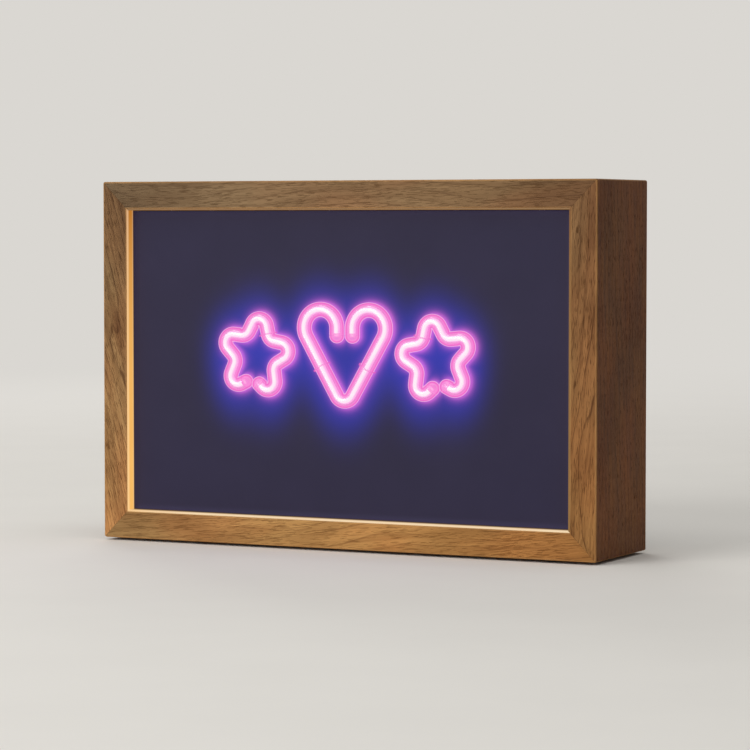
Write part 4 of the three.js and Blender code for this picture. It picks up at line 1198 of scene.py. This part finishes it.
class LAMP_OT_screws(LampOperator, bpy.types.Operator):
    """Builds the six cross-head screws of the cover"""

    bl_idname = "lamp.screws"
    bl_label = "Cover screws"

    def build(self, scene):
        settings = scene.lamp_fittings
        zinc = speckled("screw_steel", settings.zinc, 0.32, 1500, 0.01 * MM, 0.08, Metallic=1.0)
        for number in range(1, 7):
            node = f"cover_screw_{number}"
            shape = self.screw(node, settings, math.radians(37 * number))
            placed(shape.piece(f"cross_{node}", zinc, smooth=32), "case", "screw_steel", node)

    def screw(self, node, settings, spin):
        """Shank and domed head turned about the screw's axis. The head's height is that of a flat
        dome, less a cross recess whose walls are smooth steps of the distance across its arms."""
        tip, crown, radius, centre = on_cover(node)
        shank, thread, edge, soft = (value * MM for value in (1.1, 0.28, 0.25, 0.16))
        count, sides = 18, 96
        ridges = np.column_stack([
            shank - thread * (np.arange(count) % 2), np.linspace(tip + 2 * MM, -1.2 * MM, count),
        ])
        profile = np.concatenate([
            [(0, tip), (0.25 * shank, tip + 0.3 * MM)], ridges,
            [(shank, SEAT_GAP), (radius - edge, SEAT_GAP), (radius, SEAT_GAP + edge)],
        ])
        body = rings(centre + profile[:, 1:] * REARWARD, profile[:, 0], RIGHT, UPWARD, sides)

        def inside(distance, limit):
            """1 nearer than a limit and 0 farther, with a short slope between."""
            return np.clip((limit - np.abs(distance)) / soft + 0.5, 0, 1)

        stations = np.linspace(radius, 0, 34)
        turn = 2 * math.pi * np.arange(sides) / sides - spin
        arm, reach = settings.recess_width, settings.recess_reach
        across, up = stations[:, None] * np.cos(turn), stations[:, None] * np.sin(turn)
        upright, level = inside(across, arm) * inside(up, reach), inside(up, arm) * inside(across, reach)
        recess = np.maximum(upright, level)
        dome = crown / 2 * (1 + np.sqrt(np.clip(1 - (stations / radius) ** 2, 0, 1)))
        height = dome[:, None] - settings.recess_depth * recess**2 * (3 - 2 * recess)
        centres = np.tile(centre, (len(stations), 1))
        head = rings(centres, stations, RIGHT, UPWARD, sides) + height[..., None] * REARWARD
        return Shape().bar(np.concatenate([body, head]))


class LAMP_OT_switch(LampOperator, bpy.types.Operator):
    """Builds the housing of the rocker switch and the rocker"""

    bl_idname = "lamp.switch"
    bl_label = "Rocker switch"

    def build(self, scene):
        settings = scene.lamp_fittings
        black = speckled("switch_plastic", settings.moulding, 0.42, 1100, 0.03 * MM)
        housing = softened("switch_housing", "rocker_bezel", black, settings.soft_edge)
        placed(housing, "case", "switch_plastic", "switch_housing")
        pivot = np.array(frame["joints"][0]["pos_m"])
        shape = self.rocker(pivot)
        paddle = shape.piece("rocker_paddle", paddle_finish(settings, pivot), smooth=32)
        placed(paddle, "rocker", "rocker_plastic", "switch_rocker")

    def rocker(self, pivot):
        """A paddle outline, along the switch and outward from the pivot, carried across its width
        and drawn in at both sides along a quarter circle. Its two faces are hollowed a little."""
        half, end_rise, middle_rise, shoulder, keel, keel_width = (
            value * MM for value in (7.2, 3.6, 2.3, 1.0, 3.2, 1.5)
        )
        side_gap, hollow, edge, trunnion = (value * MM for value in (1.1, 0.28, 0.35, 1.4))
        bottom = half - shoulder
        outline = [
            (-half, end_rise), (-bottom, -shoulder), (-keel_width, -keel), (keel_width, -keel),
            (bottom, -shoulder), (half, end_rise), (0, middle_rise),
        ]
        radii = np.array([0.5, 0.6, 0.5, 0.5, 0.6, 0.5, 2.0]) * MM
        profile = subdivided(rounded(outline, radii, 6, 0.4 * MM)[0], 0.5 * MM)
        on_top = profile[:, 1] > middle_rise - 0.1 * MM
        across_face = np.clip(np.abs(profile[:, 0]) / half, 0, 1)
        profile[:, 1] -= hollow * on_top * np.sin(across_face * math.pi) ** 2
        away = profile - profile.mean(0)
        away = away / np.linalg.norm(away, axis=1)[:, None]
        low, high = corners_of("switch_rocker")
        width = high[0] - low[0] - 2 * side_gap
        cosine, sine = quarter(5).T
        drawn, across = edge * (1 - sine), width / 2 - edge * (1 - cosine)
        drawn, across = np.append(drawn, drawn[::-1]), np.append(-across, across[::-1])[:, None]
        along, outward = np.moveaxis(profile - drawn[:, None, None] * away, -1, 0)
        tilt = math.radians(9)
        points = pivot + np.stack(np.broadcast_arrays(
            across, outward * math.cos(tilt) - along * math.sin(tilt),
            along * math.cos(tilt) + outward * math.sin(tilt),
        ), -1)
        shape = Shape().bar(points)
        for side in (-1, 1):
            reach = side * (width / 2 + np.array([[0], [0.9], [1.1]]) * MM)
            radii = trunnion - np.array([0, 0, 0.2]) * MM
            shape.bar(rings(pivot + reach * RIGHT, radii, REARWARD, UPWARD, 24))
        return shape


class LAMP_OT_jack(LampOperator, bpy.types.Operator):
    """Builds the power jack"""

    bl_idname = "lamp.jack"
    bl_label = "Power jack"

    def build(self, scene):
        """The socket's lip and mouth are quarter circles, and so is the tip of its pin, made flatter."""
        settings = scene.lamp_fittings
        black = speckled("jack_plastic", settings.moulding, 0.38, 1100, 0.02 * MM)
        brass = speckled("nut_brass", settings.brass, 0.3, 1600, 0.01 * MM, 0.08, Metallic=1.0)
        _, flange, radius, centre = on_cover("power_jack")
        barrel, rear, bore, pin, edge = (value * MM for value in (5.5, -13, 3.2, 1.05, 0.4))
        floor, tip, arc = flange - 9.5 * MM, flange - 1.5 * MM, quarter(6)
        profile = np.concatenate([
            [(0, rear), (barrel, rear), (barrel, SEAT_GAP), (radius, SEAT_GAP)],
            [radius - edge, flange - edge] + edge * arc,
            [bore + edge, flange - edge] + edge * arc[::-1] * [-1, 1],
            [(bore, floor), (pin, floor)],
        ])
        shape = Shape().turned(profile, centre, REARWARD, RIGHT, 64)
        round_tip = [0, tip - pin / 2] + arc * [pin, pin / 2]
        shape.turned([(pin, floor), *round_tip], centre, REARWARD, RIGHT, 64, finish=1)
        blade, blade_length = np.array([0.4, 0, 2.3]) * MM, 6 * MM
        for side in (-4 * MM, 4 * MM):
            root = centre + RIGHT * side + REARWARD * rear
            shape.block(root - blade - REARWARD * blade_length, root + blade)
        placed(shape.piece("jack_socket", black, brass), "case", "jack_plastic", "power_jack")


class LAMP_OT_inner_parts(LampOperator, bpy.types.Operator):
    """Gives the parts inside the case their finishes"""

    bl_idname = "lamp.inner_parts"
    bl_label = "Inner parts"

    def build(self, scene):
        beech = [tint(212, 172, 126), tint(200, 158, 112), tint(176, 130, 86), tint(150, 106, 66)]
        pine = [tint(222, 190, 140), tint(210, 174, 122), tint(186, 138, 84), tint(160, 112, 62)]
        finishes = {
            "corner_tongue": wood("beech", beech, ring=3.5 * MM, pores=0.3, roughness=0.6),
            "panel_batten": wood("pine", pine, ring=4.5 * MM, pores=0.2, roughness=0.65),
            "led_tape": speckled("led_tape", tint(236, 230, 214), 0.5, 500, 0.02 * MM, 0.06),
            "driver_board": speckled("circuit_board", tint(40, 104, 66), 0.4, 420, 0.04 * MM, 0.25),
            "board_spacer": speckled("spacer_nylon", tint(228, 224, 212), 0.45, 900, 0.01 * MM, 0.06),
            "jack_nut": bpy.data.materials["nut_brass"],
        }
        wire = speckled("wire_insulation", tint(222, 217, 207), 0.45, 900, 0.01 * MM, 0.06)
        for name, node in frame["nodes"].items():
            if not node.hide_render:
                fitting = (finish for start, finish in finishes.items() if name.startswith(start))
                node.data.materials.clear()
                node.data.materials.append(wire if name.endswith("_lead") else next(fitting))


class LAMP_OT_stage(LampOperator, bpy.types.Operator):
    """Sets the pale floor, the room light and the lamps"""

    bl_idname = "lamp.stage"
    bl_label = "Stage"

    def build(self, scene):
        settings = scene.lamp_stage
        self.floor(settings)
        self.room(scene, settings)
        self.lamp(scene, "key", settings.key_power, 1.6, (-0.95, -2.2, 0.95))
        self.lamp(scene, "top", settings.top_power, 2.0, (0, -0.4, 2.2))
        self.lamp(scene, "fill", settings.fill_power, 1.2, (-1.3, 1.7, 1.2))
        scene.view_settings.view_transform = "Standard"

    def floor(self, settings):
        """A flat disc whose far part takes on the backdrop's colour for the eye and in reflections."""
        finish = Finish("floor")
        place, pale = finish.place(), np.array(settings.floor)
        mottle = finish.ranged(finish.noise(place, 12, 3), 0.3, 0.7)
        distance = finish.node("VectorMath", {0: place}, operation="LENGTH").outputs["Value"]
        far = finish.math("MULTIPLY", finish.ranged(distance, 0.45, 2.2), finish.seen())
        plain = finish.node("BsdfDiffuse", {"Color": finish.mixed(mottle, pale, pale * 0.985)}).outputs[0]
        glow = finish.node("Emission", {"Color": paint(settings.backdrop)}).outputs[0]
        finish.ended(finish.blended(far, plain, glow))
        reach = np.array([0.0, 1.0, 4.0, 16.0])
        shape = Shape()
        shape.grid(rings(np.zeros((len(reach), 3)), reach, RIGHT, REARWARD, 96), around=True)
        floor_disc = shape.piece("floor", finish.made)

    def room(self, scene, settings):
        """Even light from all round, and the backdrop's colour for the eye and in reflections."""
        finish = Finish("room", "World")
        inputs = {"Color": (1, 0.985, 0.96, 1), "Strength": settings.room_light}
        light = finish.node("Background", inputs).outputs[0]
        backdrop = finish.node("Background", {"Color": paint(settings.backdrop)}).outputs[0]
        scene.world = finish.ended(finish.blended(finish.seen(), light, backdrop))

    def lamp(self, scene, name, power, size, place):
        """A square soft lamp that faces the middle of the case."""
        data = bpy.data.lights.new(name, "AREA")
        data.energy = power
        data.size = size
        lamp = bpy.data.objects.new(name, data)
        lamp.location = place
        x, y, z = np.array([0, 0, MIDDLE_Z]) - np.array(place)
        lamp.rotation_euler = (math.atan2(math.hypot(x, y), -z), 0, math.atan2(-x, y))
        scene.collection.objects.link(lamp)


SETTINGS = {
    "lamp_case": LampCaseSettings,
    "lamp_panel": LampPanelSettings,
    "lamp_tubes": LampTubeSettings,
    "lamp_reveal": LampRevealSettings,
    "lamp_fittings": LampFittingSettings,
    "lamp_stage": LampStageSettings,
}
OPERATORS = [
    LAMP_OT_camera, LAMP_OT_boards, LAMP_OT_feet, LAMP_OT_light_guides, LAMP_OT_sign_panel, LAMP_OT_sleeves,
    LAMP_OT_cores, LAMP_OT_caps, LAMP_OT_bows, LAMP_OT_rear_cover, LAMP_OT_screws, LAMP_OT_switch,
    LAMP_OT_jack, LAMP_OT_inner_parts, LAMP_OT_stage,
]


class LAMP_PT_sidebar(bpy.types.Panel):
    """Lists the lamp's steps and settings"""

    bl_label = "Neon picture lamp"
    bl_idname = "LAMP_PT_sidebar"
    bl_space_type = "VIEW_3D"
    bl_region_type = "UI"
    bl_category = "Lamp"

    def draw(self, context):
        for operator in OPERATORS:
            self.layout.operator(operator.bl_idname)
        for key, group in SETTINGS.items():
            box = self.layout.box()
            box.label(text=group.__doc__)
            for name in group.__annotations__:
                box.prop(getattr(context.scene, key), name)


def register():
    for key, group in SETTINGS.items():
        bpy.utils.register_class(group)
        setattr(bpy.types.Scene, key, bpy.props.PointerProperty(type=group))
    for shown in (*OPERATORS, LAMP_PT_sidebar):
        bpy.utils.register_class(shown)


def unregister():
    for shown in (LAMP_PT_sidebar, *reversed(OPERATORS)):
        bpy.utils.unregister_class(shown)
    for key, group in reversed(SETTINGS.items()):
        delattr(bpy.types.Scene, key)
        bpy.utils.unregister_class(group)


def main():
    register()
    for operator in OPERATORS:
        group, name = operator.bl_idname.split(".")
        getattr(getattr(bpy.ops, group), name)()


if __name__ == "__main__":
    main()
